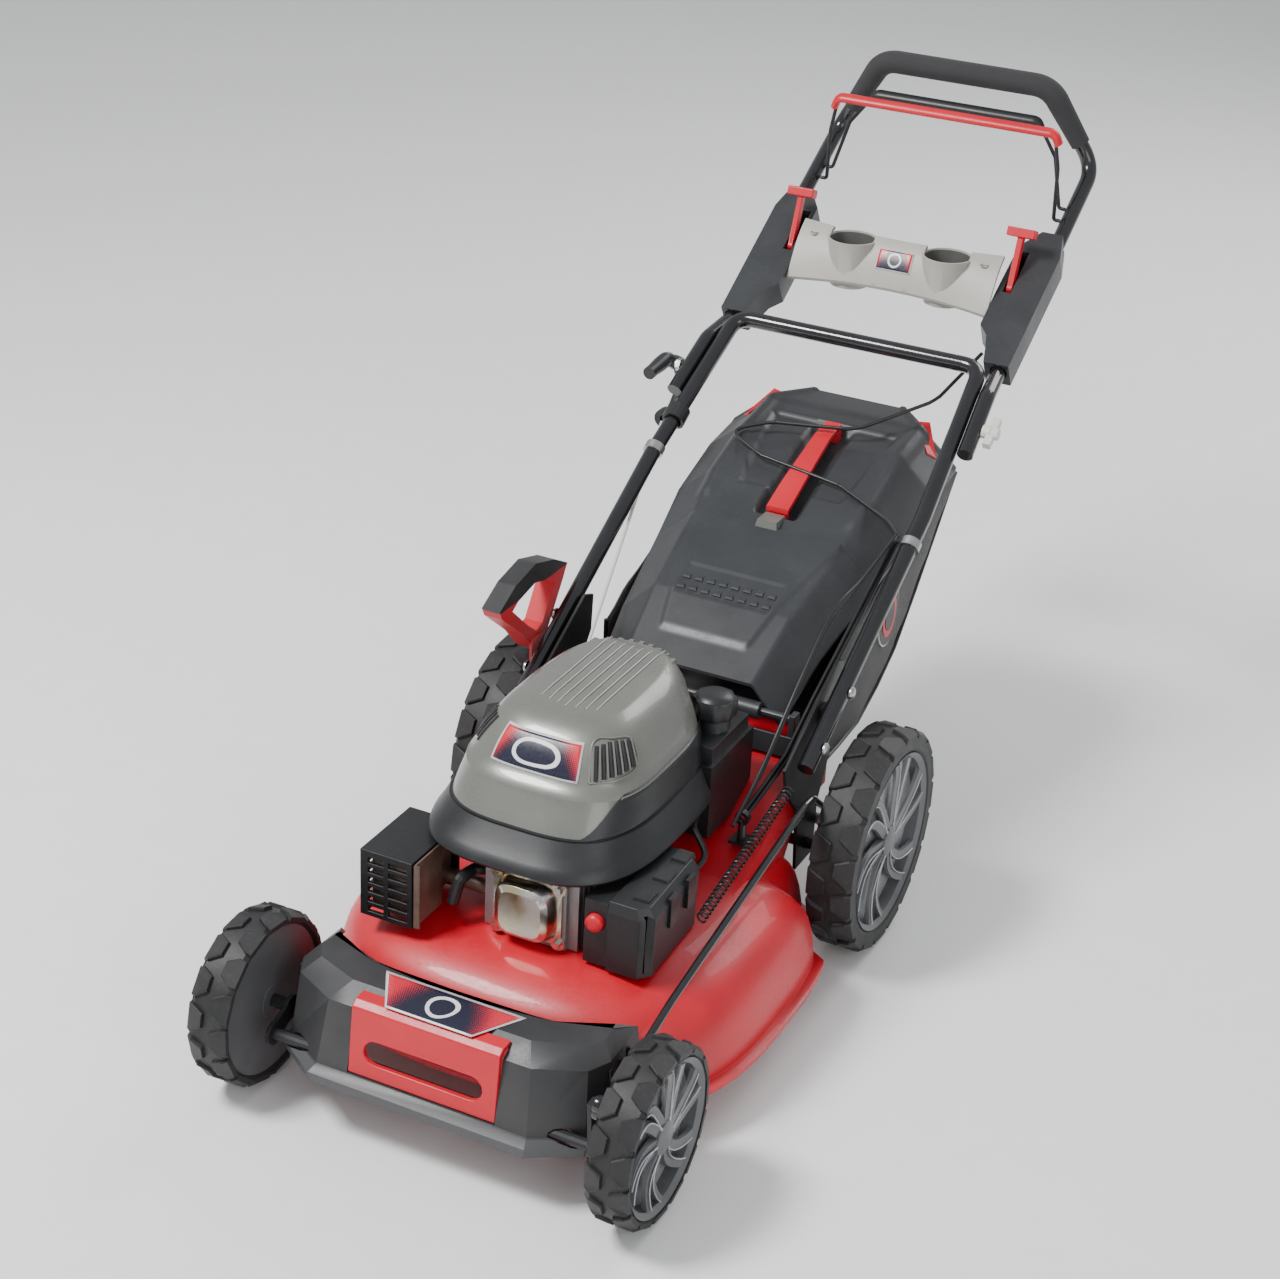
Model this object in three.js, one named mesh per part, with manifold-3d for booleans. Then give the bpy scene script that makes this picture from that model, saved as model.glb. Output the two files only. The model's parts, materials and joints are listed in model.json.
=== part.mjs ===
// Petrol lawn mower with a rear grass bag, as an assembly of separate parts.
// Millimetres, +Z up. The mower drives towards -Y, and +X is the operator's left.
// Y is counted from the rear wheels' axle while the parts are built; the last lines
// move the whole mower so that its bounding box is centred over the origin.

import * as THREE from 'three';
import { mergeVertices } from 'three/addons/utils/BufferGeometryUtils.js';
import Module from 'manifold-3d';

const wasm = await Module();
wasm.setup();

// ---------------------------------------------------------------- sizes

const GAP = 0.4;                    // clearance between pieces that touch

const WHEELBASE = 603;
const REAR_WHEEL_R = 140;
const FRONT_WHEEL_R = 100.7;
const REAR_WHEEL_W = 58;
const FRONT_WHEEL_W = 50;
const TYRE_H_REAR = 27;             // tyre height over its rim
const TYRE_H_FRONT = 13;
const WHEEL_SIDES = 24;

const CRANK_Y = 34;                 // axle cranks: pivot to wheel centre, at rest
const CRANK_Z = 14;
const CRANK_ROD_R = 7;
const CRANK_PLATE_T = 5;
const STUB_R = 7.5;
const AXLE_CLEARANCE = 0.8;

const DECK_HALF_W = 266;
const WELL_HALF_W = 206;            // deck half width beside the rear wheels
const REAR_TRACK_HALF = DECK_HALF_W + 5; // centre plane to a rear wheel's outer face
const FRONT_TRACK_HALF = DECK_HALF_W;
const CRANK_PLATE_IN = DECK_HALF_W - 72.5; // centre plane to the crank plate's inner face
const DECK_WALL = 3;
const DECK_RIM_Z = 52;
const DECK_TOP_Z = 168;
const DECK_FRONT_GAP = 38;          // front axle back to the deck's front edge
const DECK_REAR_GAP = 28;           // rear axle forward to the deck's rear edge
const DECK_SHARE_FRONT = 275;       // blade centre to the deck's front edge
const CHUTE_HALF_W = 168;
const CHUTE_TOP_Z = 244;
const CHUTE_FLOOR_Z = 182;
const CHUTE_REAR_Y = 22;

const BLADE_R = 236;
const BLADE_W = 52;
const BLADE_T = 4;
const BLADE_Z = 92;
const SHAFT_R = 11;

const TUBE_R = 10.5;                // handle tubes
const LEG_HALF_W = 188;             // centre plane to a lower leg's axis
const LEG_TOP_HALF_W = 176;
const LEG_ANGLE = THREE.MathUtils.degToRad(30.54);
const LEG_END_Y = -102;
const LEG_END_Z = 266.6;
const LOWER_LEG_L = 635;            // lower handle, along the leg
const PIVOT_S = LOWER_LEG_L - 99;    // fold pivot, along the leg
const UPPER_END_S = LOWER_LEG_L - 142;
const UPPER_HALF_W = LEG_TOP_HALF_W - 10 + 2 * TUBE_R;
const UPPER_DROP = 2 * TUBE_R + 6;  // upper legs lie this far under the lower ones
const GRIP_S = LOWER_LEG_L + 401;   // where the upper legs turn up to the grip
const GRIP_TOP_S = GRIP_S + 30;
const GRIP_HALF_W = 121;
const GRIP_RISE = 80;
const FOAM_R = 16;
const SHELL_S = LOWER_LEG_L + 15;   // bracket shells, from here up along the leg
const SHELL_L = 236;

const CAP_X = 88;                   // fuel cap axis
const CAP_R = 27;

const BAG_HALF_W = 160;
const BAG_FRONT_Y = 45;
const FLAP_T = 4;
const FLAP_REAR_Y = 183;            // flap's rear edge, where the bag lid starts

// places worked out from the sizes
const FRONT_Y = -WHEELBASE;
const DECK_FRONT_Y = FRONT_Y + DECK_FRONT_GAP;
const ENGINE_Y = DECK_FRONT_Y + DECK_SHARE_FRONT;
const DECK_FRONT_L = ENGINE_Y - DECK_FRONT_Y;
const DECK_REAR_L = -DECK_REAR_GAP - ENGINE_Y;
const REAR_PIVOT = [-CRANK_Y, REAR_WHEEL_R - CRANK_Z];
const FRONT_PIVOT = [FRONT_Y - CRANK_Y, FRONT_WHEEL_R - CRANK_Z];
const CAP_Y = ENGINE_Y + 140;
const HUMP_Y = ENGINE_Y + 75;        // where the chute's hump starts to rise
const humpZ = (y) => DECK_TOP_Z + ((CHUTE_TOP_Z - DECK_TOP_Z) * (y - HUMP_Y)) / (-60 - HUMP_Y);

// ---------------------------------------------------------------- helpers

function closed(geometry) {
  const bare = geometry.clone();
  for (const name of Object.keys(bare.attributes)) {
    if (name !== 'position') bare.deleteAttribute(name);
  }
  bare.clearGroups();
  const merged = mergeVertices(bare, 1e-3);
  const p = merged.attributes.position;
  const index = Array.from(merged.index.array);
  const a = new THREE.Vector3();
  const b = new THREE.Vector3();
  const c = new THREE.Vector3();
  let volume = 0;
  for (let i = 0; i < index.length; i += 3) {
    a.fromBufferAttribute(p, index[i]);
    b.fromBufferAttribute(p, index[i + 1]);
    c.fromBufferAttribute(p, index[i + 2]);
    volume += a.dot(b.cross(c));
  }
  if (volume < 0) {
    for (let i = 0; i < index.length; i += 3) {
      [index[i + 1], index[i + 2]] = [index[i + 2], index[i + 1]];
    }
    merged.setIndex(index);
  }
  return merged;
}

function solid(geometry) {
  const g = closed(geometry);
  return new wasm.Manifold(new wasm.Mesh({
    numProp: 3,
    vertProperties: new Float32Array(g.attributes.position.array),
    triVerts: new Uint32Array(g.index.array),
  }));
}

function fromSolid(manifold) {
  const mesh = manifold.getMesh();
  const g = new THREE.BufferGeometry();
  g.setAttribute('position', new THREE.BufferAttribute(new Float32Array(mesh.vertProperties), 3));
  g.setIndex(Array.from(mesh.triVerts));
  return g;
}

function join(...pieces) {
  return fromSolid(pieces.map(solid).reduce((whole, piece) => whole.add(piece)));
}

function cut(body, ...tools) {
  return fromSolid(tools.map(solid).reduce((whole, tool) => whole.subtract(tool), solid(body)));
}

function mirrored(geometry) {
  return closed(geometry.clone().scale(-1, 1, 1));
}

function slab(x0, x1, y0, y1, z0, z1) {
  const g = new THREE.BoxGeometry(x1 - x0, y1 - y0, z1 - z0);
  return g.translate((x0 + x1) / 2, (y0 + y1) / 2, (z0 + z1) / 2);
}

// Cylinder along X, Y or Z between two stations on that axis.
function rod(axis, r, from, to, u, v, sides = 12) {
  const g = new THREE.CylinderGeometry(r, r, Math.abs(to - from), sides);
  const mid = (from + to) / 2;
  if (axis === 'x') return g.rotateZ(-Math.PI / 2).translate(mid, u, v);
  if (axis === 'y') return g.translate(u, mid, v);
  return g.rotateX(Math.PI / 2).translate(u, v, mid);
}

// Lathe about an axis through (u, v); each profile point is [radius, station].
function turned(axis, profile, u, v, sides = 16) {
  const points = profile.map(([r, t]) => new THREE.Vector2(r, t));
  const g = new THREE.LatheGeometry(points, sides);
  if (axis === 'x') return g.rotateZ(-Math.PI / 2).translate(0, u, v);
  return g.rotateX(Math.PI / 2).translate(u, v, 0);
}

function outline(points) {
  return new THREE.Shape(points.map(([x, y]) => new THREE.Vector2(x, y)));
}

// A side profile in (Y, Z), extruded across from x0 to x1.
function across(points, x0, x1) {
  const g = new THREE.ExtrudeGeometry(outline(points), { depth: x1 - x0, bevelEnabled: false });
  const turn = new THREE.Matrix4().set(0, 0, 1, x0, 1, 0, 0, 0, 0, 1, 0, 0, 0, 0, 0, 1);
  return g.applyMatrix4(turn);
}

// A plan in (X, Y), extruded up from z0 to z1.
function raised(points, z0, z1) {
  const g = new THREE.ExtrudeGeometry(outline(points), { depth: z1 - z0, bevelEnabled: false });
  return g.translate(0, 0, z0);
}

// A skin through rings of points, closed by a flat fan at each end.
function loft(rings) {
  const n = rings[0].length;
  const position = rings.flat().flatMap((p) => [p.x, p.y, p.z]);
  const index = [];
  for (let k = 0; k + 1 < rings.length; k++) {
    for (let i = 0; i < n; i++) {
      const a = k * n + i;
      const b = k * n + ((i + 1) % n);
      index.push(a, b, b + n, a, b + n, a + n);
    }
  }
  for (const [k, flip] of [[0, true], [rings.length - 1, false]]) {
    const middle = new THREE.Vector3();
    rings[k].forEach((p) => middle.addScaledVector(p, 1 / n));
    const m = position.length / 3;
    position.push(middle.x, middle.y, middle.z);
    for (let i = 0; i < n; i++) {
      const a = k * n + i;
      const b = k * n + ((i + 1) % n);
      index.push(m, flip ? b : a, flip ? a : b);
    }
  }
  const g = new THREE.BufferGeometry();
  g.setAttribute('position', new THREE.Float32BufferAttribute(position, 3));
  g.setIndex(index);
  return g;
}

// A sheet over a grid of (x, y), its top at height(x, y), with a thickness down.
function sheet(xs, ys, height, thickness, widthAt = () => 1) {
  const rows = ys.length;
  const cols = xs.length;
  const position = [];
  for (const drop of [0, thickness]) {
    for (const y of ys) {
      for (const x of xs) position.push(x * widthAt(y), y, height(x, y) - drop);
    }
  }
  const at = (layer, j, i) => layer * rows * cols + j * cols + i;
  const index = [];
  const quad = (a, b, c, d) => index.push(a, b, c, a, c, d);
  for (let j = 0; j + 1 < rows; j++) {
    for (let i = 0; i + 1 < cols; i++) {
      quad(at(0, j, i), at(0, j, i + 1), at(0, j + 1, i + 1), at(0, j + 1, i));
      quad(at(1, j, i), at(1, j + 1, i), at(1, j + 1, i + 1), at(1, j, i + 1));
    }
  }
  for (let i = 0; i + 1 < cols; i++) {
    quad(at(1, 0, i), at(1, 0, i + 1), at(0, 0, i + 1), at(0, 0, i));
    quad(at(0, rows - 1, i), at(0, rows - 1, i + 1), at(1, rows - 1, i + 1), at(1, rows - 1, i));
  }
  for (let j = 0; j + 1 < rows; j++) {
    quad(at(0, j, 0), at(0, j + 1, 0), at(1, j + 1, 0), at(1, j, 0));
    quad(at(1, j, cols - 1), at(1, j + 1, cols - 1), at(0, j + 1, cols - 1), at(0, j, cols - 1));
  }
  const g = new THREE.BufferGeometry();
  g.setAttribute('position', new THREE.Float32BufferAttribute(position, 3));
  g.setIndex(index);
  return g;
}

// A path of stations: a section is placed at each one and nowhere else.
class StationCurve extends THREE.Curve {
  constructor(stations) {
    super();
    this.stations = stations;
  }

  getPoint(t, target = new THREE.Vector3()) {
    const last = this.stations.length - 1;
    const i = Math.min(Math.floor(t * last + 1e-9), last - 1);
    return target.lerpVectors(this.stations[i], this.stations[i + 1], t * last - i);
  }

  getPointAt(u, target) {
    return this.getPoint(u, target);
  }

  getTangentAt(u, target = new THREE.Vector3()) {
    const last = this.stations.length - 1;
    const i = Math.round(u * last);
    const before = this.stations[Math.max(i - 1, 0)];
    const after = this.stations[Math.min(i + 1, last)];
    const inward = before.distanceTo(this.stations[i]) || 1;
    const outward = after.distanceTo(this.stations[i]) || 1;
    target.copy(this.stations[i]).sub(before).divideScalar(inward);
    return target.addScaledVector(after, 1 / outward)
      .addScaledVector(this.stations[i], -1 / outward).normalize();
  }
}

// Corner points rounded by a bend of the given radius, in a few steps each.
function rounded(corners, bend, steps = 4) {
  const stations = [corners[0].clone()];
  for (let i = 1; i + 1 < corners.length; i++) {
    const into = corners[i].clone().sub(corners[i - 1]);
    const out = corners[i + 1].clone().sub(corners[i]);
    const half = into.angleTo(out) / 2;
    const reach = Math.min(bend * Math.tan(half), into.length() * 0.48, out.length() * 0.48);
    const a = corners[i].clone().addScaledVector(into.normalize(), -reach);
    const b = corners[i].clone().addScaledVector(out.normalize(), reach);
    for (let k = 0; k <= steps; k++) {
      const t = k / steps;
      const p = a.clone().multiplyScalar((1 - t) ** 2);
      p.addScaledVector(corners[i], 2 * t * (1 - t)).addScaledVector(b, t * t);
      stations.push(p);
    }
  }
  stations.push(corners[corners.length - 1].clone());
  return stations;
}

function tube(stations, r, sides = 10) {
  const section = [];
  for (let i = 0; i < sides; i++) {
    const angle = (2 * Math.PI * (i + 0.5)) / sides;
    section.push([r * Math.cos(angle), r * Math.sin(angle)]);
  }
  return new THREE.ExtrudeGeometry(outline(section), {
    steps: stations.length - 1,
    extrudePath: new StationCurve(stations),
    bevelEnabled: false,
  });
}

const at = (x, y, z) => new THREE.Vector3(x, y, z);

// A point on the handle: across, along the leg from its lower end, and above the leg.
function onHandle(x, s, lift = 0) {
  const c = Math.cos(LEG_ANGLE);
  const n = Math.sin(LEG_ANGLE);
  return at(x, LEG_END_Y + s * c - lift * n, LEG_END_Z + s * n + lift * c);
}

// Turns a shape built with X across, Y along the leg and Z above it into place.
function layOnHandle(geometry) {
  const start = onHandle(0, 0);
  return geometry.rotateX(LEG_ANGLE).translate(start.x, start.y, start.z);
}

const mower = new THREE.Group();
const material = (color, roughness, metalness = 0) => (
  new THREE.MeshStandardMaterial({ color, roughness, metalness })
);
const RED = material(0xd01a26, 0.35);
const BLACK = material(0x1b1c1e, 0.55);
const GLOSS_BLACK = material(0x141416, 0.2);
const DARK_GREY = material(0x3b3e40, 0.6);
const MID_GREY = material(0x75766f, 0.45, 0.2);
const LIGHT_GREY = material(0xb3b1a6, 0.5);
const STEEL = material(0xa8aaa8, 0.35, 0.9);
const CAST = material(0x8b8d8e, 0.6, 0.8);
const FOAM = material(0x2b2c2c, 0.9);
const TYRE = material(0x222323, 0.85);
const FABRIC = material(0x131415, 0.9);
const WHITE = material(0xe8e6df, 0.5);

function add(name, geometry, finish) {
  const mesh = new THREE.Mesh(closed(geometry), finish);
  mesh.name = name;
  mower.add(mesh);
}

// ---------------------------------------------------------------- deck

// A rounded-square ring: narrower beside the rear wheels, inset all round by a margin.
function deckRing(z, inset) {
  const ring = [];
  const count = 36;
  for (let i = 0; i < count; i++) {
    const angle = (2 * Math.PI * i) / count;
    const c = Math.cos(angle);
    const s = Math.sin(angle);
    const long = (s > 0 ? DECK_REAR_L : DECK_FRONT_L) - inset;
    const wide = (DECK_HALF_W - inset) * Math.abs(c) ** (2 / 3);
    const toWell = THREE.MathUtils.clamp((s - 0.3) / 0.18, 0, 1);
    const limit = THREE.MathUtils.lerp(DECK_HALF_W, WELL_HALF_W, toWell) - inset;
    const x = s > 0 ? Math.min(wide, limit) : wide;
    ring.push(at(Math.sign(c) * x, ENGINE_Y + Math.sign(s) * long * Math.abs(s) ** (2 / 3), z));
  }
  return ring;
}

function buildDeck() {
  const rim = 12;
  const levels = [[DECK_RIM_Z + 6, rim], [100, 16], [140, 36], [158, 66], [DECK_TOP_Z, 104]];
  const outer = [deckRing(DECK_RIM_Z, 0), deckRing(DECK_RIM_Z + 6, 0)];
  const inner = [deckRing(DECK_RIM_Z - 2, rim + DECK_WALL)];
  for (const [z, inset] of levels) {
    outer.push(deckRing(z + 2 * (z < 60), inset));
    inner.push(deckRing(z - DECK_WALL, inset + DECK_WALL));
  }
  const start = HUMP_Y;
  const hump = across([
    [start - 40, 120], [start - 40, DECK_TOP_Z - 3], [start, DECK_TOP_Z], [-60, CHUTE_TOP_Z],
    [CHUTE_REAR_Y, CHUTE_TOP_Z + 8], [CHUTE_REAR_Y, CHUTE_FLOOR_Z], [-62, CHUTE_FLOOR_Z],
    [-112, 112],
  ], -CHUTE_HALF_W, CHUTE_HALF_W);
  const w = DECK_WALL;
  const passage = across([
    [start - 20, 70], [start - 20, 140], [start, DECK_TOP_Z - w - 1], [-60, CHUTE_TOP_Z - w - 1],
    [CHUTE_REAR_Y + 8, CHUTE_TOP_Z + 8 - w], [CHUTE_REAR_Y + 8, CHUTE_FLOOR_Z + w],
    [-63.5, CHUTE_FLOOR_Z + w], [-115, 112], [-115, 70],
  ], -CHUTE_HALF_W + w, CHUTE_HALF_W - w);
  const shaftHole = rod('z', 40, DECK_TOP_Z - 20, DECK_TOP_Z + 10, 0, ENGINE_Y, 24);
  add('deck_shell', cut(join(loft(outer), hump), loft(inner), passage, shaftHole), RED);
}

// ---------------------------------------------------------------- front cover

// Half of the cover's plan from its middle line round to the rear corner.
function coverPlan(grow, frontShift, rearShift) {
  const wide = DECK_HALF_W / 266;
  const tuck = 0.08 * (DECK_HALF_W - 266);
  const half = [
    [128, FRONT_Y - 56 + frontShift], [181, FRONT_Y - 24 + frontShift / 2],
    [194, FRONT_Y + 8], [190, FRONT_Y + 92 + rearShift - tuck], [172, FRONT_Y + 84 + rearShift],
    [110, FRONT_Y + 62 + rearShift],
  ].map(([x, y], i) => [x * wide + (i < 4 ? grow : 0), y - (i < 3 ? grow : -grow)]);
  const other = half.map(([x, y]) => [-x, y]).reverse();
  return [...half, [0, FRONT_Y + 50 + rearShift + grow], ...other];
}

const ringAt = (plan, z) => plan.map(([x, y]) => at(x, y, z));

function buildFrontCover() {
  const bottom = 66;
  const lipTop = 82;
  const top = 174;
  const shelf = 160;
  const shape = loft([
    ringAt(coverPlan(2, -6, 0), bottom), ringAt(coverPlan(4, -6, 0), lipTop - 3),
    ringAt(coverPlan(0, 2, 0), lipTop + 3), ringAt(coverPlan(-6, 12, -2), shelf),
    ringAt(coverPlan(-20, 24, -14), top),
  ]);
  const hollow = loft([
    ringAt(coverPlan(-1, -3, 8), bottom - 4), ringAt(coverPlan(-3, 4, 8), lipTop + 3),
    ringAt(coverPlan(-10, 15, 8), shelf - 6), ringAt(coverPlan(-24, 27, 8), top - 4),
  ]);
  const backHalf = (182 * DECK_HALF_W) / 266;
  const openBack = slab(-backHalf, backHalf, FRONT_Y + 70, FRONT_Y + 130, bottom - 4, 158);
  const rodWindow = join(
    rod('x', CRANK_ROD_R + 2, 120, CRANK_PLATE_IN + 46.5, ...FRONT_PIVOT),
    slab(CRANK_PLATE_IN - 4.5, CRANK_PLATE_IN + 46.5, FRONT_Y - 54, FRONT_Y + 30,
      FRONT_PIVOT[1] - 40, FRONT_WHEEL_R + 14),
  );
  const handlePocket = slab(-90, 90, FRONT_Y - 80, FRONT_Y - 20, lipTop + 4, 190);
  add('front_cover', cut(shape, hollow, openBack, rodWindow, mirrored(rodWindow), handlePocket),
    BLACK);

  // The red pull handle: a bent plate over the cover's nose, with a slot for the hand.
  const face = [
    [FRONT_Y - 53, lipTop + 5], [FRONT_Y - 44, shelf + 6], [FRONT_Y - 36, top - 2],
    [FRONT_Y - 20.5, top - 1], [FRONT_Y - 20.5, top - 7], [FRONT_Y - 33, top - 8],
    [FRONT_Y - 38, shelf + 2], [FRONT_Y - 46.5, lipTop + 5],
  ];
  const plate = across(face, -89.5, 89.5);
  const slotZ = 118;
  const slotHalf = 58;
  const slot = join(
    slab(-slotHalf, slotHalf, FRONT_Y - 80, FRONT_Y - 30, slotZ - 14, slotZ + 14),
    rod('y', 14, FRONT_Y - 80, FRONT_Y - 30, -slotHalf, slotZ),
    rod('y', 14, FRONT_Y - 80, FRONT_Y - 30, slotHalf, slotZ),
  );
  add('front_handle', cut(plate, slot), RED);
}

// ---------------------------------------------------------------- engine

const COWL_X = -12;

const superRing = (a, front, rear, z, power = 3.2, count = 24) => {
  const ring = [];
  for (let i = 0; i < count; i++) {
    const angle = (2 * Math.PI * i) / count;
    const c = Math.cos(angle);
    const s = Math.sin(angle);
    const long = s > 0 ? rear : front;
    ring.push(at(COWL_X + Math.sign(c) * a * Math.abs(c) ** (2 / power),
      ENGINE_Y + Math.sign(s) * long * Math.abs(s) ** (2 / power), z));
  }
  return ring;
};

function buildEngine() {
  const base = DECK_TOP_Z + GAP;
  const blockTop = 262;
  const crankcase = turned('z', [[0, base], [72, base], [74, base + 8], [60, base + 14],
    [60, blockTop], [0, blockTop]], 0, ENGINE_Y, 24);
  const barrel = slab(-34, 58, ENGINE_Y - 158, ENGINE_Y - 30, base + 2, blockTop - 12);
  const fins = [];
  for (let i = 0; i < 6; i++) {
    const y = ENGINE_Y - 152 + i * 12;
    fins.push(slab(-46, 70, y, y + 4, base + 1, blockTop - 6));
  }
  const block = join(crankcase, barrel, ...fins);
  const bore = rod('z', SHAFT_R + AXLE_CLEARANCE, base - 5, blockTop + 5, 0, ENGINE_Y, 20);
  add('engine_block', cut(block, bore), CAST);

  // Rocker cover: a domed pressing on a flange with four lobes.
  const coverY = ENGINE_Y - 158 - GAP;
  const midX = 12;
  const midZ = 213.4;
  const domeRing = (y, w, h) => {
    const ring = [];
    for (let i = 0; i < 20; i++) {
      const angle = (2 * Math.PI * i) / 20;
      const c = Math.cos(angle);
      const s = Math.sin(angle);
      ring.push(at(midX + Math.sign(c) * w * Math.abs(c) ** 0.5, y,
        midZ + Math.sign(s) * h * Math.abs(s) ** 0.5));
    }
    return ring;
  };
  const dome = loft([domeRing(coverY - 1, 38, 37), domeRing(coverY - 4, 37, 36),
    domeRing(coverY - 18, 33, 32), domeRing(coverY - 22, 26, 26)]);
  const lobes = [];
  for (const sx of [-1, 1]) {
    for (const sz of [-1, 1]) {
      lobes.push(rod('y', 9, coverY - 3, coverY, midX + sx * 38, midZ + sz * 35, 12));
      lobes.push(rod('y', 5, coverY - 8, coverY - 2, midX + sx * 38, midZ + sz * 35, 6));
    }
  }
  const flange = slab(midX - 42, midX + 42, coverY - 3, coverY, midZ - 37, midZ + 37);
  add('valve_cover', join(flange, dome, ...lobes), STEEL);

  const plugY = ENGINE_Y - 148;
  add('spark_plug_boot', tube(rounded([at(-50.5, plugY + 18, 226), at(-66, plugY + 4, 228),
    at(-72, plugY - 16, 224), at(-76, plugY - 24, 196)], 10, 3), 7, 10), BLACK);

  // Muffler, in a slotted guard that is open towards the engine and the deck.
  const my = ENGINE_Y - 158;
  add('muffler', join(
    slab(-164, -112, my - 40, my + 44, 182, 250),
    rod('x', 9, -114, -46.8, my + 34, 196),
  ), CAST);
  const guard = cut(
    slab(-172, -106, my - 52, my + 53, 172, 256),
    slab(-167, -90, my - 47, my + 48, 160, 251),
  );
  const slots = [];
  for (let k = 0; k < 6; k++) {
    const z = 178 + k * 12.5;
    slots.push(slab(-180, -160, my - 44, my - 6, z, z + 7));
    slots.push(slab(-180, -160, my + 2, my + 44, z, z + 7));
    slots.push(slab(-162, -142, my - 60, my - 40, z, z + 7));
    slots.push(slab(-136, -112, my - 60, my - 40, z, z + 7));
  }
  add('muffler_guard', cut(guard, ...slots), BLACK);
  add('heat_shield', join(
    slab(-104.5, -102.5, my - 50, my + 8, 174, 254),
    slab(-104.5, -97, my - 50, my - 48, 174, 254),
  ), CAST);

  // Blower housing: a flared skirt, hollow over the flywheel, cut clear of the fuel tank.
  const tankBox = slab(26, 130, CAP_Y - 64, CAP_Y + 60, 200, 326);
  const capWell = rod('z', CAP_R + 9, 320, 420, CAP_X, CAP_Y, 24);
  const skirt = loft([superRing(126, 172, 149, 258), superRing(137, 182, 155, 265),
    superRing(133, 178, 153, 274), superRing(121, 153, 152, 300)]);
  const skirtHollow = loft([superRing(122, 166, 145, 254), superRing(130, 174, 149, 270),
    superRing(116, 148, 147, 304)]);
  add('blower_housing', cut(skirt, skirtHollow, tankBox), BLACK);

  const shell = [[300 + GAP, 118, 150, 150], [330, 111, 130, 152], [342, 107, 112, 152],
    [362, 97, 102, 152], [382, 84, 86, 149], [395, 72, 68, 145], [402, 58, 46, 136]];
  const cover = loft(shell.map(([z, a, f, r]) => superRing(a, f, r, z)));
  const coverHollow = loft([superRing(114, 146, 146, 296),
    ...shell.slice(1, 6).map(([z, a, f, r]) => superRing(a - 5, f - 5, r - 5, z - 3))]);
  const vents = [];
  for (let k = 0; k < 4; k++) {
    const y = ENGINE_Y - 50 + k * 14;
    vents.push(slab(60, 120, y, y + 7, 338, 362));
    vents.push(slab(-132, -70, y - 20, y - 16, 340, 366));
  }
  add('engine_cover', cut(cover, coverHollow, tankBox, capWell, ...vents), MID_GREY);

  add('fuel_tank', join(
    across([[CAP_Y - 60, 206], [CAP_Y + 4, humpZ(CAP_Y + 4) + 4], [CAP_Y + 56, humpZ(CAP_Y + 56) + 4],
      [CAP_Y + 56, 300], [CAP_Y - 60, 300]], 30, 116),
    slab(38, 112, CAP_Y - 52, CAP_Y + 48, 296, 320),
    turned('z', [[0, 318], [22, 318], [20, 332], [0, 332]], CAP_X, CAP_Y, 18),
  ), BLACK);
  const lobed = [];
  for (let i = 0; i < 32; i++) {
    const angle = (2 * Math.PI * i) / 32;
    const r = CAP_R - 2.2 * (1 + Math.cos(8 * angle)) / 2;
    lobed.push([CAP_X + r * Math.cos(angle), CAP_Y + r * Math.sin(angle)]);
  }
  add('fuel_cap', join(raised(lobed, 336, 358),
    turned('z', [[0, 332 + GAP], [21, 332 + GAP], [21, 337], [0, 337]], CAP_X, CAP_Y, 20),
    turned('z', [[0, 357], [22, 357], [16, 362], [0, 364]], CAP_X, CAP_Y, 20)), BLACK);
}

function buildFuelAndAir() {
  const y0 = ENGINE_Y - 168;
  const top = 252;
  add('carburettor', join(
    slab(61 + GAP, 80, ENGINE_Y - 30, ENGINE_Y + 14, 186, 240),
    rod('x', 13, 78, 84 - GAP, ENGINE_Y - 44, 206),
    slab(61 + GAP, 84 - GAP, ENGINE_Y - 56, ENGINE_Y - 28, 192, 220),
  ), CAST);
  add('air_filter_base', cut(
    slab(84, 112, y0 + 2, y0 + 140, DECK_TOP_Z + 4, top),
    slab(90, 120, y0 + 12, y0 + 132, DECK_TOP_Z + 12, top - 8),
    rod('y', 11.6, y0 - 5, y0 + 20, 98, 226, 18),
  ), BLACK);
  const box = loft([
    ringAt([[112 + GAP, y0], [150, y0], [162, y0 + 14], [158, y0 + 130], [146, y0 + 142],
      [112 + GAP, y0 + 142]], DECK_TOP_Z + 2),
    ringAt([[112 + GAP, y0], [150, y0], [164, y0 + 14], [160, y0 + 130], [148, y0 + 142],
      [112 + GAP, y0 + 142]], top - 8),
    ringAt([[112 + GAP, y0 + 4], [146, y0 + 4], [156, y0 + 14], [152, y0 + 126],
      [142, y0 + 138], [112 + GAP, y0 + 138]], top + 4),
  ]);
  add('air_filter_cover', cut(box, slab(100, 156, y0 + 6, y0 + 134, DECK_TOP_Z + 8, top - 4)), BLACK);
  add('primer_bulb', loft([[10.6, -7], [10.6, 2], [8.5, 5], [5, 7]].map(([r, d]) => {
    const ring = [];
    for (let i = 0; i < 16; i++) {
      const angle = (2 * Math.PI * i) / 16;
      ring.push(at(98 + r * Math.cos(angle), y0 - d, 226 + r * Math.sin(angle)));
    }
    return ring;
  })), RED);
  add('fuel_hose', tube(rounded([at(102, CAP_Y - 61.5, 232), at(104, CAP_Y - 78, 230),
    at(128, CAP_Y - 84, 200), at(118, CAP_Y - 110, 184), at(86, CAP_Y - 130, 196)],
  16, 4), 4, 8), BLACK);
}

// ---------------------------------------------------------------- blade drive

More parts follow.
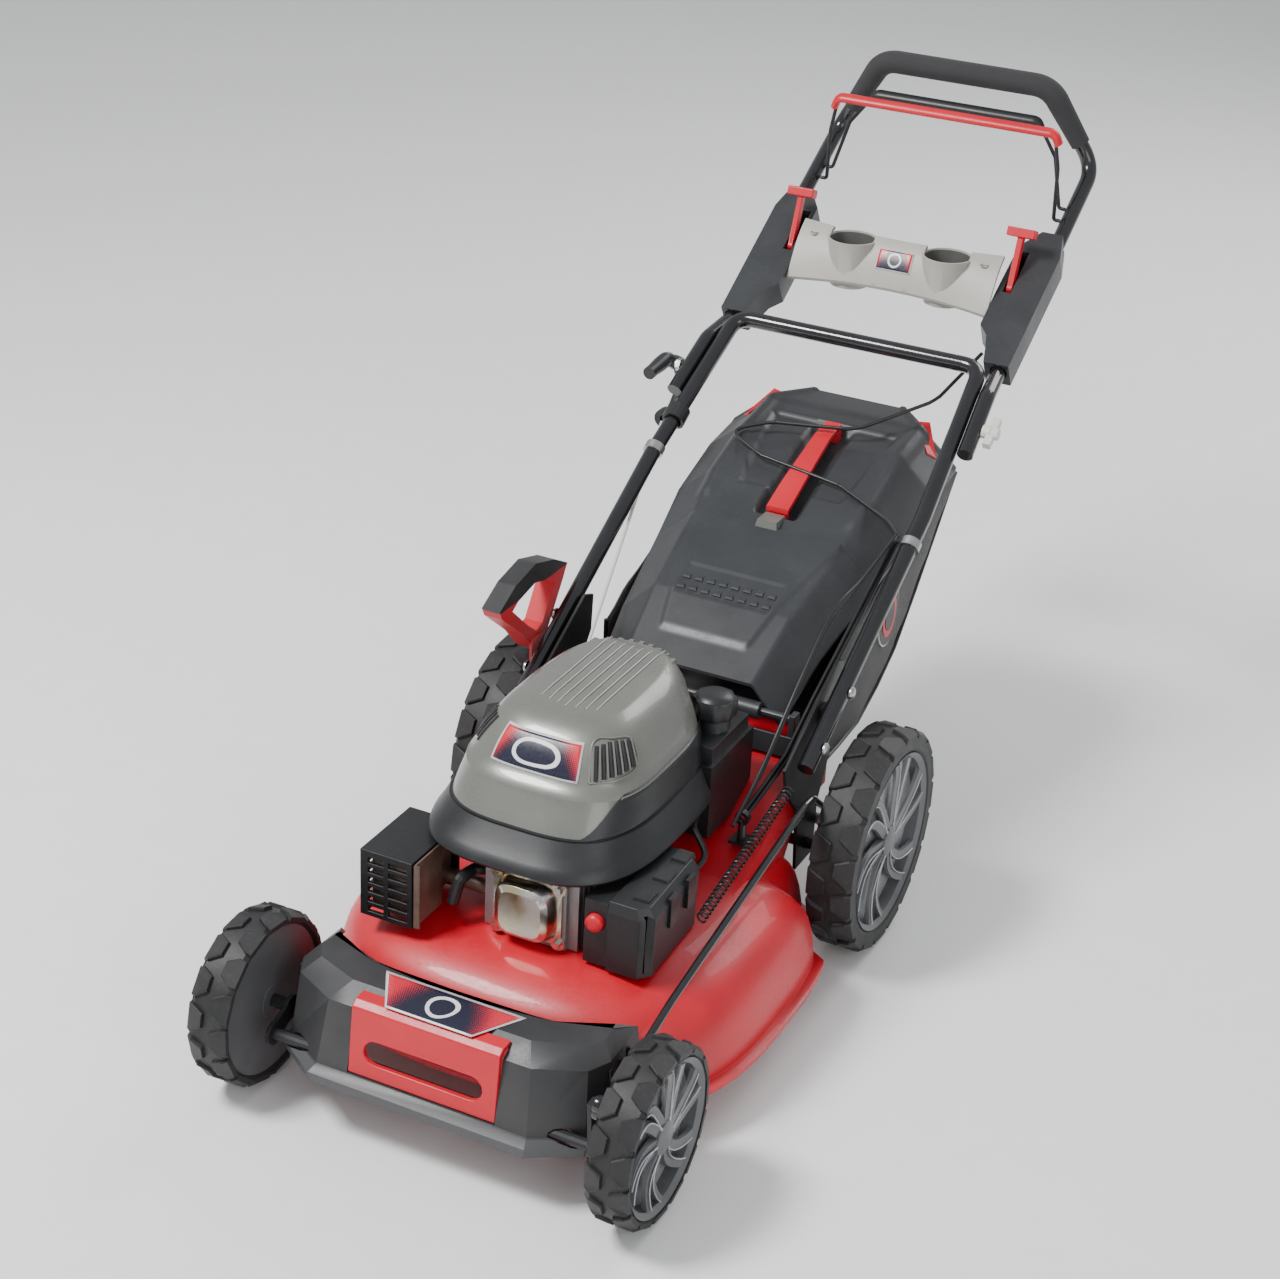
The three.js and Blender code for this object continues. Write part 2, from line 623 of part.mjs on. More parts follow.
function buildBlade() {
  const bladeTop = BLADE_Z + BLADE_T + GAP;
  const shaft = turned('z', [[0, 80], [10, 80], [10, 88], [18, 89], [18, BLADE_Z - GAP],
    [7.5, BLADE_Z - GAP], [7.5, bladeTop], [28, bladeTop], [28, 112], [24, 118], [SHAFT_R, 120],
    [SHAFT_R, 266], [76, 268], [78, 284], [12, 288], [12, 291], [0, 291]], 0, ENGINE_Y, 20);
  add('crankshaft', shaft, CAST);
  const pulley = 291 + GAP;
  add('starter_pulley', turned('z', [[0, pulley], [44, pulley], [44, pulley + 3],
    [40, pulley + 5], [40, pulley + 7], [44, pulley + 9], [44, pulley + 12], [0, pulley + 12]],
  0, ENGINE_Y, 20), BLACK);
  const half = BLADE_W / 2;
  const tip = Math.sqrt(BLADE_R ** 2 - half ** 2);
  const flat = slab(-tip, tip, ENGINE_Y - half, ENGINE_Y + half, BLADE_Z, BLADE_Z + BLADE_T);
  const wing = across([[0, 0], [16, 14], [12, 16], [-2, 3]], -45, 45);
  const rightWing = wing.clone().translate(tip - 46, ENGINE_Y + half - 12, BLADE_Z + 1);
  const leftWing = rightWing.clone().translate(0, -ENGINE_Y, 0).rotateZ(Math.PI)
    .translate(0, ENGINE_Y, 0);
  const hole = rod('z', 8, BLADE_Z - 5, BLADE_Z + 9, 0, ENGINE_Y);
  add('blade', cut(join(flat, rightWing, leftWing), hole), STEEL);
}

// ---------------------------------------------------------------- wheels and axles

function buildWheel(name, side, y, radius, width, outerX, tyreH) {
  const inner = outerX - width;
  const seat = radius - tyreH;
  const flip = (g) => (side > 0 ? g : mirrored(g));
  const crown = radius - 2.5;
  const tyre = turned('x', [[seat, inner + 3], [crown - 5, inner],
    [radius, inner + 8], [radius, outerX - 8], [crown - 5, outerX],
    [seat, outerX - 3], [seat, inner + 3]], y, radius, WHEEL_SIDES);
  add(`tyre_${name}`, flip(tyre), TYRE);
  const hole = STUB_R + AXLE_CLEARANCE;
  const rimSeat = seat - GAP;
  const rim = turned('x', [[hole, inner + 2], [22, inner + 2], [24, inner + 20],
    [rimSeat - 6, inner + 22], [rimSeat, inner + 4], [rimSeat, outerX - 3],
    [rimSeat - 8, outerX - 3], [30, outerX - 14], [24, outerX - 6], [0, outerX - 5],
    [0, outerX - 12], [hole, outerX - 12], [hole, inner + 2]], y, radius, WHEEL_SIDES);
  add(`rim_${name}`, flip(rim), DARK_GREY);
}

function crankPlate(pivot, wheelY, wheelZ, extra = []) {
  const shape = join(
    rod('x', 14, CRANK_PLATE_IN, CRANK_PLATE_IN + CRANK_PLATE_T, pivot[0], pivot[1]),
    rod('x', 14, CRANK_PLATE_IN, CRANK_PLATE_IN + CRANK_PLATE_T, wheelY, wheelZ),
    across([[pivot[0], pivot[1] - 12], [wheelY, wheelZ - 12], [wheelY, wheelZ + 12],
      [pivot[0], pivot[1] + 12]], CRANK_PLATE_IN, CRANK_PLATE_IN + CRANK_PLATE_T),
    ...extra,
  );
  return shape;
}

const ARM_Y = -8;                   // tie-rod arm tip from the crank pivot
const ARM_Z = 58;
const TIE_X = CRANK_PLATE_IN + 11;
const TIE_R = 4.5;
const PIN_R = 3.5;

function buildAxle(name, pivot, wheelY, wheelR, stubEnd) {
  const outX = CRANK_PLATE_IN + CRANK_PLATE_T;
  const stub = rod('x', STUB_R, outX - 1, stubEnd, wheelY, wheelR);
  const arm = across([[pivot[0] - 10, pivot[1]], [pivot[0] + 10, pivot[1]],
    [pivot[0] + ARM_Y + 7, pivot[1] + ARM_Z + 6], [pivot[0] + ARM_Y - 7, pivot[1] + ARM_Z + 6],
  ], CRANK_PLATE_IN, outX);
  const pin = rod('x', PIN_R, outX - 1, TIE_X + 5.5, pivot[0] + ARM_Y, pivot[1] + ARM_Z, 12);
  const bar = rod('x', CRANK_ROD_R, -CRANK_PLATE_IN - 1, CRANK_PLATE_IN + 1, ...pivot);
  const plate = crankPlate(pivot, wheelY, wheelR, [stub]);
  add(name, join(bar, plate, mirrored(plate), arm, pin), BLACK);
}

function buildRunningGear() {
  const r = REAR_TRACK_HALF;
  const f = FRONT_TRACK_HALF;
  for (const [side, tag] of [[1, 'left'], [-1, 'right']]) {
    buildWheel(`rear_${tag}`, side, 0, REAR_WHEEL_R, REAR_WHEEL_W, r, TYRE_H_REAR);
    buildWheel(`front_${tag}`, side, FRONT_Y, FRONT_WHEEL_R, FRONT_WHEEL_W, f, TYRE_H_FRONT);
  }
  buildAxle('rear_axle', REAR_PIVOT, 0, REAR_WHEEL_R, r - 16);
  buildAxle('front_axle', FRONT_PIVOT, FRONT_Y, FRONT_WHEEL_R, f - 16);

  // Gearbox on its cross shaft, between the two rear cranks.
  add('gearbox', join(
    turned('x', [[0, -24], [24, -24], [27, -18], [27, 18], [24, 24], [0, 24]], 4,
      REAR_WHEEL_R, 20),
    rod('x', 7, -CRANK_PLATE_IN + GAP, CRANK_PLATE_IN - GAP, 4, REAR_WHEEL_R),
    rod('z', 9, REAR_WHEEL_R + 10, REAR_WHEEL_R + 34, 10, 14, 14),
  ), CAST);

  // Tie rod: slotted eyes on the two crank pins, its long run just over the deck's edge.
  const rear = [REAR_PIVOT[0] + ARM_Y, REAR_PIVOT[1] + ARM_Z];
  const front = [FRONT_PIVOT[0] + ARM_Y, FRONT_PIVOT[1] + ARM_Z];
  const path = rounded([at(TIE_X, rear[0] - 8, rear[1] + 4), at(TIE_X, -112, 238),
    at(TIE_X, -134, 240), at(TIE_X, FRONT_Y + 120, 176), at(TIE_X, FRONT_Y + 60, 160),
    at(TIE_X, front[0] + 8, front[1] + 2)], 26, 2);
  const eye = ([y, z]) => join(
    rod('x', 10, TIE_X - TIE_R, TIE_X + TIE_R, y, z - 4),
    rod('x', 10, TIE_X - TIE_R, TIE_X + TIE_R, y, z + 4),
  );
  const slot = ([y, z]) => slab(TIE_X - 9, TIE_X + 9, y - PIN_R - 2.4, y + PIN_R + 2.4,
    z - PIN_R - 5, z + PIN_R + 5);
  add('tie_rod', cut(join(tube(path, TIE_R, 8), eye(rear), eye(front)), slot(rear),
    slot(front)), GLOSS_BLACK);

  // Lift spring between the tie rod and the handle bracket, as its outer shape.
  const coils = [];
  const from = at(TIE_X - 17, FRONT_Y + 224, 216);
  const to = at(TIE_X - 17, -150, 263);
  coils.push(from, to);
  add('lift_spring', tube(coils, 7, 12), BLACK);

  // Height lever beside the right rear crank.
  const stemIn = TIE_X + 0.7;
  const stemOut = TIE_X + 4.5;
  const [py, pz] = REAR_PIVOT;
  const stem = across([[py - 14, pz - 6], [py + 8, pz - 10], [py + 12, pz + 60],
    [py + 14, pz + 182], [py - 18, pz + 182], [py - 12, pz + 60]], stemIn, stemOut);
  const boss = rod('x', 9, CRANK_PLATE_IN + CRANK_PLATE_T + GAP, stemIn + 1, py, pz);
  const loopOut = [[py - 8, pz + 166], [py + 20, pz + 170], [py + 62, pz + 232],
    [py + 74, pz + 252], [py + 40, pz + 270], [py - 10, pz + 284], [py - 60, pz + 274],
    [py - 98, pz + 254], [py - 92, pz + 242], [py - 40, pz + 200]];
  const loopIn = [[py - 4, pz + 190], [py + 12, pz + 194], [py + 40, pz + 238],
    [py + 36, pz + 246], [py - 10, pz + 258], [py - 52, pz + 250], [py - 66, pz + 242],
    [py - 26, pz + 206]];
  const loop = cut(across(loopOut, stemOut - 2, stemOut + 23), across(loopIn, stemIn - 15, stemOut + 41));
  add('height_lever', mirrored(join(stem, boss, loop)), RED);
}

// ---------------------------------------------------------------- handle

const legX = (s) => THREE.MathUtils.lerp(LEG_HALF_W, LEG_TOP_HALF_W,
  (s - LOWER_LEG_L + 250) / 198);

function buildLowerHandle() {
  const right = [onHandle(LEG_HALF_W, 0), onHandle(LEG_HALF_W, LOWER_LEG_L - 250),
    onHandle(LEG_TOP_HALF_W, LOWER_LEG_L - 52), onHandle(LEG_TOP_HALF_W - 3, LOWER_LEG_L)];
  const left = right.map((p) => at(-p.x, p.y, p.z)).reverse();
  add('lower_handle', tube(rounded([...right, ...left], 52, 4), TUBE_R, 10), GLOSS_BLACK);

  // Side brackets carry the legs and the rear crank's bar.
  const x0 = CHUTE_HALF_W + GAP;
  const footY = -66 + 0.12 * (DECK_HALF_W - 266);
  const plate = across([[footY, 104], [-12, 104], [-10, 176], [36, 262], [40, 344], [18, 352],
    [-124, 270], [-116, 236], [-76, 190]], x0, x0 + 4);
  const bearing = rod('x', CRANK_ROD_R + AXLE_CLEARANCE, x0 - 5, x0 + 9, ...REAR_PIVOT);
  const [tabY, tabZ] = [-20, 300];
  const tab = slab(x0, LEG_HALF_W - TUBE_R - GAP, tabY - 10, tabY + 10, tabZ - 10, tabZ + 10);
  const bracket = cut(join(plate, tab), bearing);
  add('handle_bracket_left', bracket, BLACK);
  add('handle_bracket_right', mirrored(bracket), BLACK);
}

function upperPath() {
  const pivotX = THREE.MathUtils.lerp(LEG_HALF_W, LEG_TOP_HALF_W, (PIVOT_S - LOWER_LEG_L + 250) / 198);
  const slope = (LEG_TOP_HALF_W - LEG_HALF_W) / 198;
  const beside = 2.1 * TUBE_R - 0.25;
  const x = (s) => pivotX + slope * (s - PIVOT_S) + beside;
  return [onHandle(x(UPPER_END_S), UPPER_END_S), onHandle(x(PIVOT_S + 54), PIVOT_S + 54),
    onHandle(UPPER_HALF_W, LOWER_LEG_L + 33, -UPPER_DROP), onHandle(UPPER_HALF_W, GRIP_S, -UPPER_DROP),
    onHandle(GRIP_HALF_W, GRIP_TOP_S, GRIP_RISE)];
}

function buildUpperHandle() {
  const right = upperPath();
  const left = right.map((p) => at(-p.x, p.y, p.z)).reverse();
  const path = rounded([...right, ...left], 40, 3);
  add('upper_handle', tube(path, TUBE_R, 10), GLOSS_BLACK);

  // Foam sleeve over the grip, as the same path with a bore that clears the tube.
  const a = right[3].clone().lerp(right[4], 0.3);
  const b = right[4];
  const mirror = (p) => at(-p.x, p.y, p.z);
  const sleevePath = rounded([a, b, mirror(b), mirror(a)], 40, 3);
  const first = sleevePath[0].clone().sub(sleevePath[1]).normalize();
  const longer = [sleevePath[0].clone().addScaledVector(first, 9), ...sleevePath.slice(1, -1)];
  const last = sleevePath[sleevePath.length - 1];
  const lastWay = last.clone().sub(sleevePath[sleevePath.length - 2]).normalize();
  longer.push(last.clone().addScaledVector(lastWay, 9));
  add('foam_grip', cut(tube(sleevePath, FOAM_R, 12), tube(longer, TUBE_R + GAP, 10)), FOAM);
}

// Fold knobs on the pivot bolts, outside the upper legs.
function buildKnobs() {
  const outer = upperPath()[0].x - 3 + TUBE_R;
  const hub = layOnHandle(join(
    rod('x', 9, outer + 1, outer + 12, PIVOT_S, 0, 14),
    slab(outer + 8, outer + 18, PIVOT_S - 22, PIVOT_S + 22, -5, 5),
    rod('x', 8, outer + 10, outer + 22, PIVOT_S, 0, 12),
  ));
  add('fold_knob_left', hub, WHITE);
  add('fold_knob_right', mirrored(layOnHandle(join(
    rod('x', 9, outer + 1, outer + 7, PIVOT_S, 0, 6),
    rod('x', 6, outer + 4, outer + 9, PIVOT_S, 0, 12),
  ))), WHITE);
}

// Console, its end brackets and the controls, in the handle's own frame:
// X across, Y along the leg, Z above it.
const LEVER_X = 158;
const LEVER_S = LOWER_LEG_L + 150;

function buildConsole() {
  const drop = -UPPER_DROP;
  const outerX = UPPER_HALF_W + TUBE_R + 7;
  const s = SHELL_S;
  const plan = [[170, s], [outerX, s], [outerX + 2, s + 80], [outerX + 2, s + 196],
    [outerX - 8, s + SHELL_L], [168, s + SHELL_L], [146, s + 204], [144, s + 118],
    [144, s + 60], [158, s + 44], [164, s + 24]];
  const body = raised(plan, drop - 16, drop + 22);
  const leg = upperPath();
  const inHandle = (p) => {
    const q = p.clone().sub(onHandle(0, 0));
    return q.applyAxisAngle(at(1, 0, 0), -LEG_ANGLE);
  };
  const legBore = tube(rounded(leg.slice(0, 4).map(inHandle), 40, 3), TUBE_R + 1.4, 10);
  const slot = slab(LEVER_X - 6, LEVER_X + 6, LEVER_S - 14, LEVER_S + 60, drop - 8, drop + 40);
  const shell = layOnHandle(cut(body, legBore, slot));
  add('bracket_shell_left', shell, DARK_GREY);
  add('bracket_shell_right', mirrored(shell), DARK_GREY);

  // T-levers: a flat arm from a hub in the slot to a cross head.
  const armLean = 0.887;
  const pivotZ = drop + 14;
  const lever = join(
    rod('x', 7, LEVER_X - 4, LEVER_X + 4, LEVER_S, pivotZ, 14),
    slab(LEVER_X - 4, LEVER_X + 4, -6, 6, 0, 72).rotateX(-armLean)
      .translate(0, LEVER_S, pivotZ),
    slab(LEVER_X - 19, LEVER_X + 19, -10, 8, 68, 80).rotateX(-armLean)
      .translate(0, LEVER_S, pivotZ),
  );
  const placed = layOnHandle(lever);
  add('control_lever_left', placed, RED);
  add('control_lever_right', mirrored(placed), RED);

  // A curved panel between the brackets with two open cups sunk in it.
  const half = 143;
  const xs = [-half, -110, -74, -38, 0, 38, 74, 110, half];
  const low = LOWER_LEG_L + 97;
  const high = LOWER_LEG_L + 177;
  const steps = [0, 0.15, 0.4, 0.7, 1];
  const bow = (x) => 13 * (1 - (x / half) ** 2);
  const grid = sheet(xs, steps, () => 0, 5);
  const p = grid.attributes.position;
  for (let i = 0; i < p.count; i++) {
    const x = p.getX(i);
    const t = p.getY(i);
    const depth = -p.getZ(i);
    const along = THREE.MathUtils.lerp(low + bow(x), high - bow(x) * 0.6, t);
    p.setXYZ(i, x, along, drop + 13 + 32 * Math.sin((t * Math.PI) / 2) - depth);
  }
  const panel = layOnHandle(grid);
  const longer = LOWER_LEG_L - 635;
  const cups = [];
  const wells = [];
  for (const x of [-68, 68]) {
    const y = 577 + longer * Math.cos(LEG_ANGLE);
    const top = 684 + longer * Math.sin(LEG_ANGLE);
    cups.push(turned('z', [[0, top - 66], [26, top - 66], [34, top], [0, top]], x, y, 24));
    wells.push(turned('z', [[0, top - 63], [23.5, top - 63], [31.5, top + 1], [31.5, top + 40],
      [0, top + 40]], x, y, 24));
  }
  add('console', cut(join(panel, ...cups), ...wells), LIGHT_GREY);
}

function buildBails() {
  const drop = -UPPER_DROP;
  const pivotS = LOWER_LEG_L + 295;
  const inner = UPPER_HALF_W - TUBE_R - 1;
  const bail = (halfTop, halfLow, s, lift, r, wireR, offset) => {
    const foot = onHandle(inner, pivotS + offset, drop);
    const low = onHandle(inner - 9, pivotS + offset, drop);
    const up = onHandle(halfLow, pivotS + offset + (s - pivotS) * 0.6, drop + (lift - drop) * 0.6);
    const end = onHandle(halfTop, s, lift);
    const side = [foot, low, up, end];
    const other = side.map((q) => at(-q.x, q.y, q.z)).reverse();
    const wire = tube(rounded([...side, ...other], 14, 3), wireR, 8);
    const bar = tube(rounded([onHandle(halfTop + 8, s - 6, lift - 16), end,
      at(-end.x, end.y, end.z), onHandle(-halfTop - 8, s - 6, lift - 16)], 18, 3), r, 8);
    return join(wire, bar);
  };
  add('brake_bail', bail(156, 165, pivotS + 55, 78, 6, 2.6, 0), RED);
  add('drive_bail', bail(118, 150, pivotS + 92, 58, 6, 2.6, 22), BLACK);
}

// ---------------------------------------------------------------- starter and cables

const GUIDE = [-LEG_HALF_W - 2 * TUBE_R - 21, 356, 483 - 2 * TUBE_R];

function buildStarter() {
  const [gx, gy, gz] = GUIDE;
  const clampX = legX(Math.max(455, LOWER_LEG_L - 250));
  const clampAt = onHandle(-LEG_HALF_W, 455);
  const clampRing = layOnHandle(cut(
    rod('y', TUBE_R + 5, 444, 466, -clampX, 0, 16),
    rod('y', TUBE_R + 1.4, 430, 480, -clampX, 0, 16),
  ));
  const ring = cut(rod('y', 13, gy - 7, gy + 7, gx, gz, 18), rod('y', 5, gy - 20, gy + 20, gx, gz));
  const arm = tube([at(clampAt.x - 9, clampAt.y + 2, clampAt.z - 6),
    at(gx + 20, gy - 20, gz + 4), at(gx + 10, gy, gz + 2)], 5, 8);
  const openLeg = layOnHandle(rod('y', TUBE_R + 1.4, 430, 480, -clampX, 0, 16));
  add('rope_guide', cut(join(clampRing, ring, arm), openLeg,
    rod('y', 5, gy - 20, gy + 20, gx, gz)), BLACK);

  // Pull handle: a tapering hook over the guide.
  const y0 = gy + 11;
  const hook = [at(gx, y0, gz), at(gx, y0 + 16, gz + 4), at(gx - 2, y0 + 44, gz + 26),
    at(gx - 4, y0 + 40, gz + 58), at(gx - 6, y0 - 4, gz + 80), at(gx - 8, y0 - 52, gz + 74)];
  add('starter_handle', tube(rounded(hook, 24, 3), 10.5, 10), BLACK);
  const outlet = at(-85, ENGINE_Y + 100, 304);
  const start = at(gx, gy - 8, gz);
  const way = outlet.clone().sub(start).normalize();
  add('starter_rope', tube([start.clone().addScaledVector(way, 6),
    outlet.clone().addScaledVector(way, -42)], 2, 8), WHITE);
}

function buildCables() {
  // Bundle from the left leg's clip down to the guide on the deck.
  const bundle = (dx, dz) => rounded([onHandle(LEG_HALF_W - 21 + dx, 345, -4 + dz),
    onHandle(LEG_HALF_W - 24 + dx, 260, -6 + dz), at(160 + dx, -20, 312 + dz),
    at(160 + dx, -92, 272 + dz), at(152 + dx, -128, 250 + dz), at(146 + dx, -172, 232 + dz)], 40, 3);
  add('lower_cables', tube(bundle(0, 0), 4, 8), BLACK);
  const gy = -176;
  add('cable_guide', join(
    slab(134, 158, gy - 14, gy + 10, 196, 200),
    rod('z', 5, 199, 224, 146, gy - 4, 10),
    cut(rod('y', 9, gy - 8, gy, 146, 229, 14), rod('y', 4.6, gy - 20, gy + 20, 146, 229, 12)),
  ), BLACK);
  // The cable that swings across behind the handle, from the console to the left leg's clip.
  const cross = [onHandle(146, LOWER_LEG_L + 65, -52), onHandle(120, LOWER_LEG_L - 35, -42), onHandle(40, 520, -34),
    onHandle(-70, 500, -30), onHandle(-120, 470, -26), onHandle(-60, 440, -24),
    onHandle(60, 420, -22), onHandle(140, 380, -14), onHandle(LEG_HALF_W - 21, 352, -4)];
  add('handle_cables', tube(rounded(cross, 60, 3), 2.5, 8), BLACK);
}

// ---------------------------------------------------------------- flap and bag

const ridgeLine = [[-33, 322], [56, 375], [183, 423], [260, 455], [351, 487], [435, 498],
  [474, 500]];

function ridge(y) {
  for (let i = 0; i + 1 < ridgeLine.length; i++) {
    const [y0, z0] = ridgeLine[i];
    const [y1, z1] = ridgeLine[i + 1];
    if (y <= y1 || i + 2 === ridgeLine.length) return z0 + ((z1 - z0) * (y - y0)) / (y1 - y0);
  }
  return 0;
}

const shoulder = 108;
const edgeDrop = 44;
const sideDrop = (x) => Math.max(0, (Math.abs(x) - shoulder) / (BAG_HALF_W - shoulder)) * edgeDrop;

function buildFlap() {
  const hingeY = -38;
  const hingeZ = 290;
  const xs = [-BAG_HALF_W, -shoulder, -55, 0, 55, shoulder, BAG_HALF_W];
  const narrow = (y) => THREE.MathUtils.lerp(0.78, 0.94, (y + 33) / 216);
  const top = sheet(xs, [-33, 10, 56, 120, FLAP_REAR_Y], (x, y) => ridge(y) - sideDrop(x),
    FLAP_T, narrow);
  const knuckles = [-100, 60].map((x) => cut(
    join(rod('x', 11, x, x + 40, hingeY, hingeZ), slab(x, x + 40, hingeY - 2, hingeY + 16,
      hingeZ, hingeZ + 34)),
    rod('x', 5.4, x - 5, x + 45, hingeY, hingeZ),
  ));
  const bore = rod('x', 5.4, -200, 200, hingeY, hingeZ);
  add('rear_flap', cut(join(top, ...knuckles), bore), DARK_GREY);
  const base = CHUTE_TOP_Z + 4;
  const ears = [-150, 140].map((x) => slab(x, x + 8, hingeY - 8, hingeY + 8, base + 3, hingeZ + 8));
  add('hinge_bar', join(rod('x', 5, -148, 148, hingeY, hingeZ),
    slab(-150, 150, hingeY - 20, hingeY - 17, base, hingeZ - 14),
    slab(-150, 150, hingeY - 20, hingeY + 10, base + 2.2, base + 5.2), ...ears), DARK_GREY);
}

function buildBag() {
  const lidStart = FLAP_REAR_Y + GAP;
  const rear = 474;
  const xs = [-BAG_HALF_W, -shoulder, -60, -52, 0, 52, 60, shoulder, BAG_HALF_W];
  const ys = [lidStart, 205, 213, 300, 392, 400, 430, rear];
  const channel = (x, y) => (Math.abs(x) < 53 && y > 206 && y < 398 ? 20 : 0);
  const taper = (y) => {
    if (y > 430) return THREE.MathUtils.lerp(1, 0.62, (y - 430) / (rear - 430));
    return Math.min(1, THREE.MathUtils.lerp(0.94, 1, (y - lidStart) / 77));
  };
  const lid = sheet(xs, ys, (x, y) => ridge(y) - sideDrop(x) - channel(x, y), 5, taper);
  add('bag_lid', lid, DARK_GREY);

  const w = BAG_HALF_W - 4;
  const f = BAG_FRONT_Y;
  const profile = [[f, 188], [165, 192], [280, 248], [456, 434], [444, 440], [351, 432],
    [183, 366], [56, 318], [f, 312]];
  const inside = [[f - 10, 192], [164, 196], [277, 251], [448, 433], [443, 436], [352, 428],
    [184, 362], [57, 314], [f - 10, 308]];
  add('bag_body', cut(across(profile, -w, w), across(inside, -w + 4, w - 4)), FABRIC);
  // Grip strap along the middle of the lid, over the recess.
  add('bag_handle', join(
    across([[216, ridge(216) - 3], [216, ridge(216) + 3], [384, ridge(384) + 3],
      [384, ridge(384) - 3]], -12, 12),
    across([[216, ridge(216) - 20 + GAP], [216, ridge(216)], [226, ridge(226)],
      [226, ridge(226) - 20 + GAP]], -12, 12),
    across([[374, ridge(374) - 20 + GAP], [374, ridge(374)], [384, ridge(384)],
      [384, ridge(384) - 20 + GAP]], -12, 12),
  ), RED);
}

buildDeck();
buildFrontCover();
buildEngine();
buildFuelAndAir();
buildBlade();
buildRunningGear();
buildLowerHandle();
buildUpperHandle();
buildKnobs();
buildConsole();
buildBails();
buildStarter();
buildCables();
buildFlap();
buildBag();

// The mower stands on Z = 0, with its bounding box centred over the origin.
const box = new THREE.Box3().setFromObject(mower);
mower.position.y = -(box.min.y + box.max.y) / 2;

export default mower;
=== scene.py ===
"""Looks of the petrol lawn mower, laid over its CAD frame."""

import json
import math

import bmesh
import bpy
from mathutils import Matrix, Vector, noise

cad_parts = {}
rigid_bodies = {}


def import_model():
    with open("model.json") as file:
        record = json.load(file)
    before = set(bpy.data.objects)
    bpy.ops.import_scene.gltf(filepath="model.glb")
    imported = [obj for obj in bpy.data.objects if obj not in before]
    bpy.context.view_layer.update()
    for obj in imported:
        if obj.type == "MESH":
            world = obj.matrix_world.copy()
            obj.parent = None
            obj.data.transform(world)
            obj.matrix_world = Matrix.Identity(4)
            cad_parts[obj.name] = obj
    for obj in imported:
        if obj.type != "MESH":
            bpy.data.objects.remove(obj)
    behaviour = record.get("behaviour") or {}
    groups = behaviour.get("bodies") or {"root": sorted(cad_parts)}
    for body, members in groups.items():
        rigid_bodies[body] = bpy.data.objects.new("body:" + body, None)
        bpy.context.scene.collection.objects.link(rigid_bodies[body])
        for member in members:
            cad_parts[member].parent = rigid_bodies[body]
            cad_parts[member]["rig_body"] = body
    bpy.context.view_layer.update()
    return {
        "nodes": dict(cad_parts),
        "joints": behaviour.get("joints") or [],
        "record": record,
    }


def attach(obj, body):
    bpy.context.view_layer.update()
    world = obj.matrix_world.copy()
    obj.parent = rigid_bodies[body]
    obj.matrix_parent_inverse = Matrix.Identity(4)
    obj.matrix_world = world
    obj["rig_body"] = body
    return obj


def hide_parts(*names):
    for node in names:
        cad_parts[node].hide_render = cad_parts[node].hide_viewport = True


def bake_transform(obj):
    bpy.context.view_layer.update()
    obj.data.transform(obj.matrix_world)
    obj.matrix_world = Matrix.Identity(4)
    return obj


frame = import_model()
JOINTS = {j["name"]: j for j in frame["joints"]}
HUB_Y = JOINTS["roll_rear_left"]["pos_m"][1]      # rear axle in the row frame
MM = 0.001


def at(x, y, z):
    """A point in millimetres, with Y counted from the rear axle, in the row frame."""
    return Vector((x * MM, y * MM + HUB_Y, z * MM))


WHEELBASE = 603.0
UPPER_HALF_W = 187.0              # half the spacing of the upper handle's legs
BAIL_S = 930.0                    # bail pivots, along the handle
CAP_X = 88.0                      # fuel cap axis
CUP_X, CUP_Y = 68.0, 577.0        # cup axes

# ------------------------------------------------------------------ camera

CAM_AZ = math.radians(25.283)
CAM_EL = math.radians(26.874)
CAM_ROLL = math.radians(2.970)
CAM_AT = at(1089.4, -2480.3, 1710.5)
CAM_LENS = 70.18

back = Vector((math.sin(CAM_AZ) * math.cos(CAM_EL), -math.cos(CAM_AZ) * math.cos(CAM_EL),
               math.sin(CAM_EL)))
level = Vector((math.cos(CAM_AZ), math.sin(CAM_AZ), 0.0))
rise = back.cross(level)
right = level * math.cos(CAM_ROLL) + rise * math.sin(CAM_ROLL)
up = rise * math.cos(CAM_ROLL) - level * math.sin(CAM_ROLL)
camera = bpy.data.objects.new("camera", bpy.data.cameras.new("camera"))
bpy.context.scene.collection.objects.link(camera)
camera.data.lens = CAM_LENS
camera.data.sensor_width = 36.0
camera.data.clip_end = 50.0
turn = camera.matrix_world.copy()
for row in range(3):
    turn[row][0], turn[row][1], turn[row][2], turn[row][3] = (
        right[row], up[row], back[row], CAM_AT[row])
camera.matrix_world = turn
bpy.context.scene.camera = camera

# ------------------------------------------------------------------ materials


MIX_A, MIX_B, MIX_RESULT = 6, 7, 2      # the mix node's colour sockets


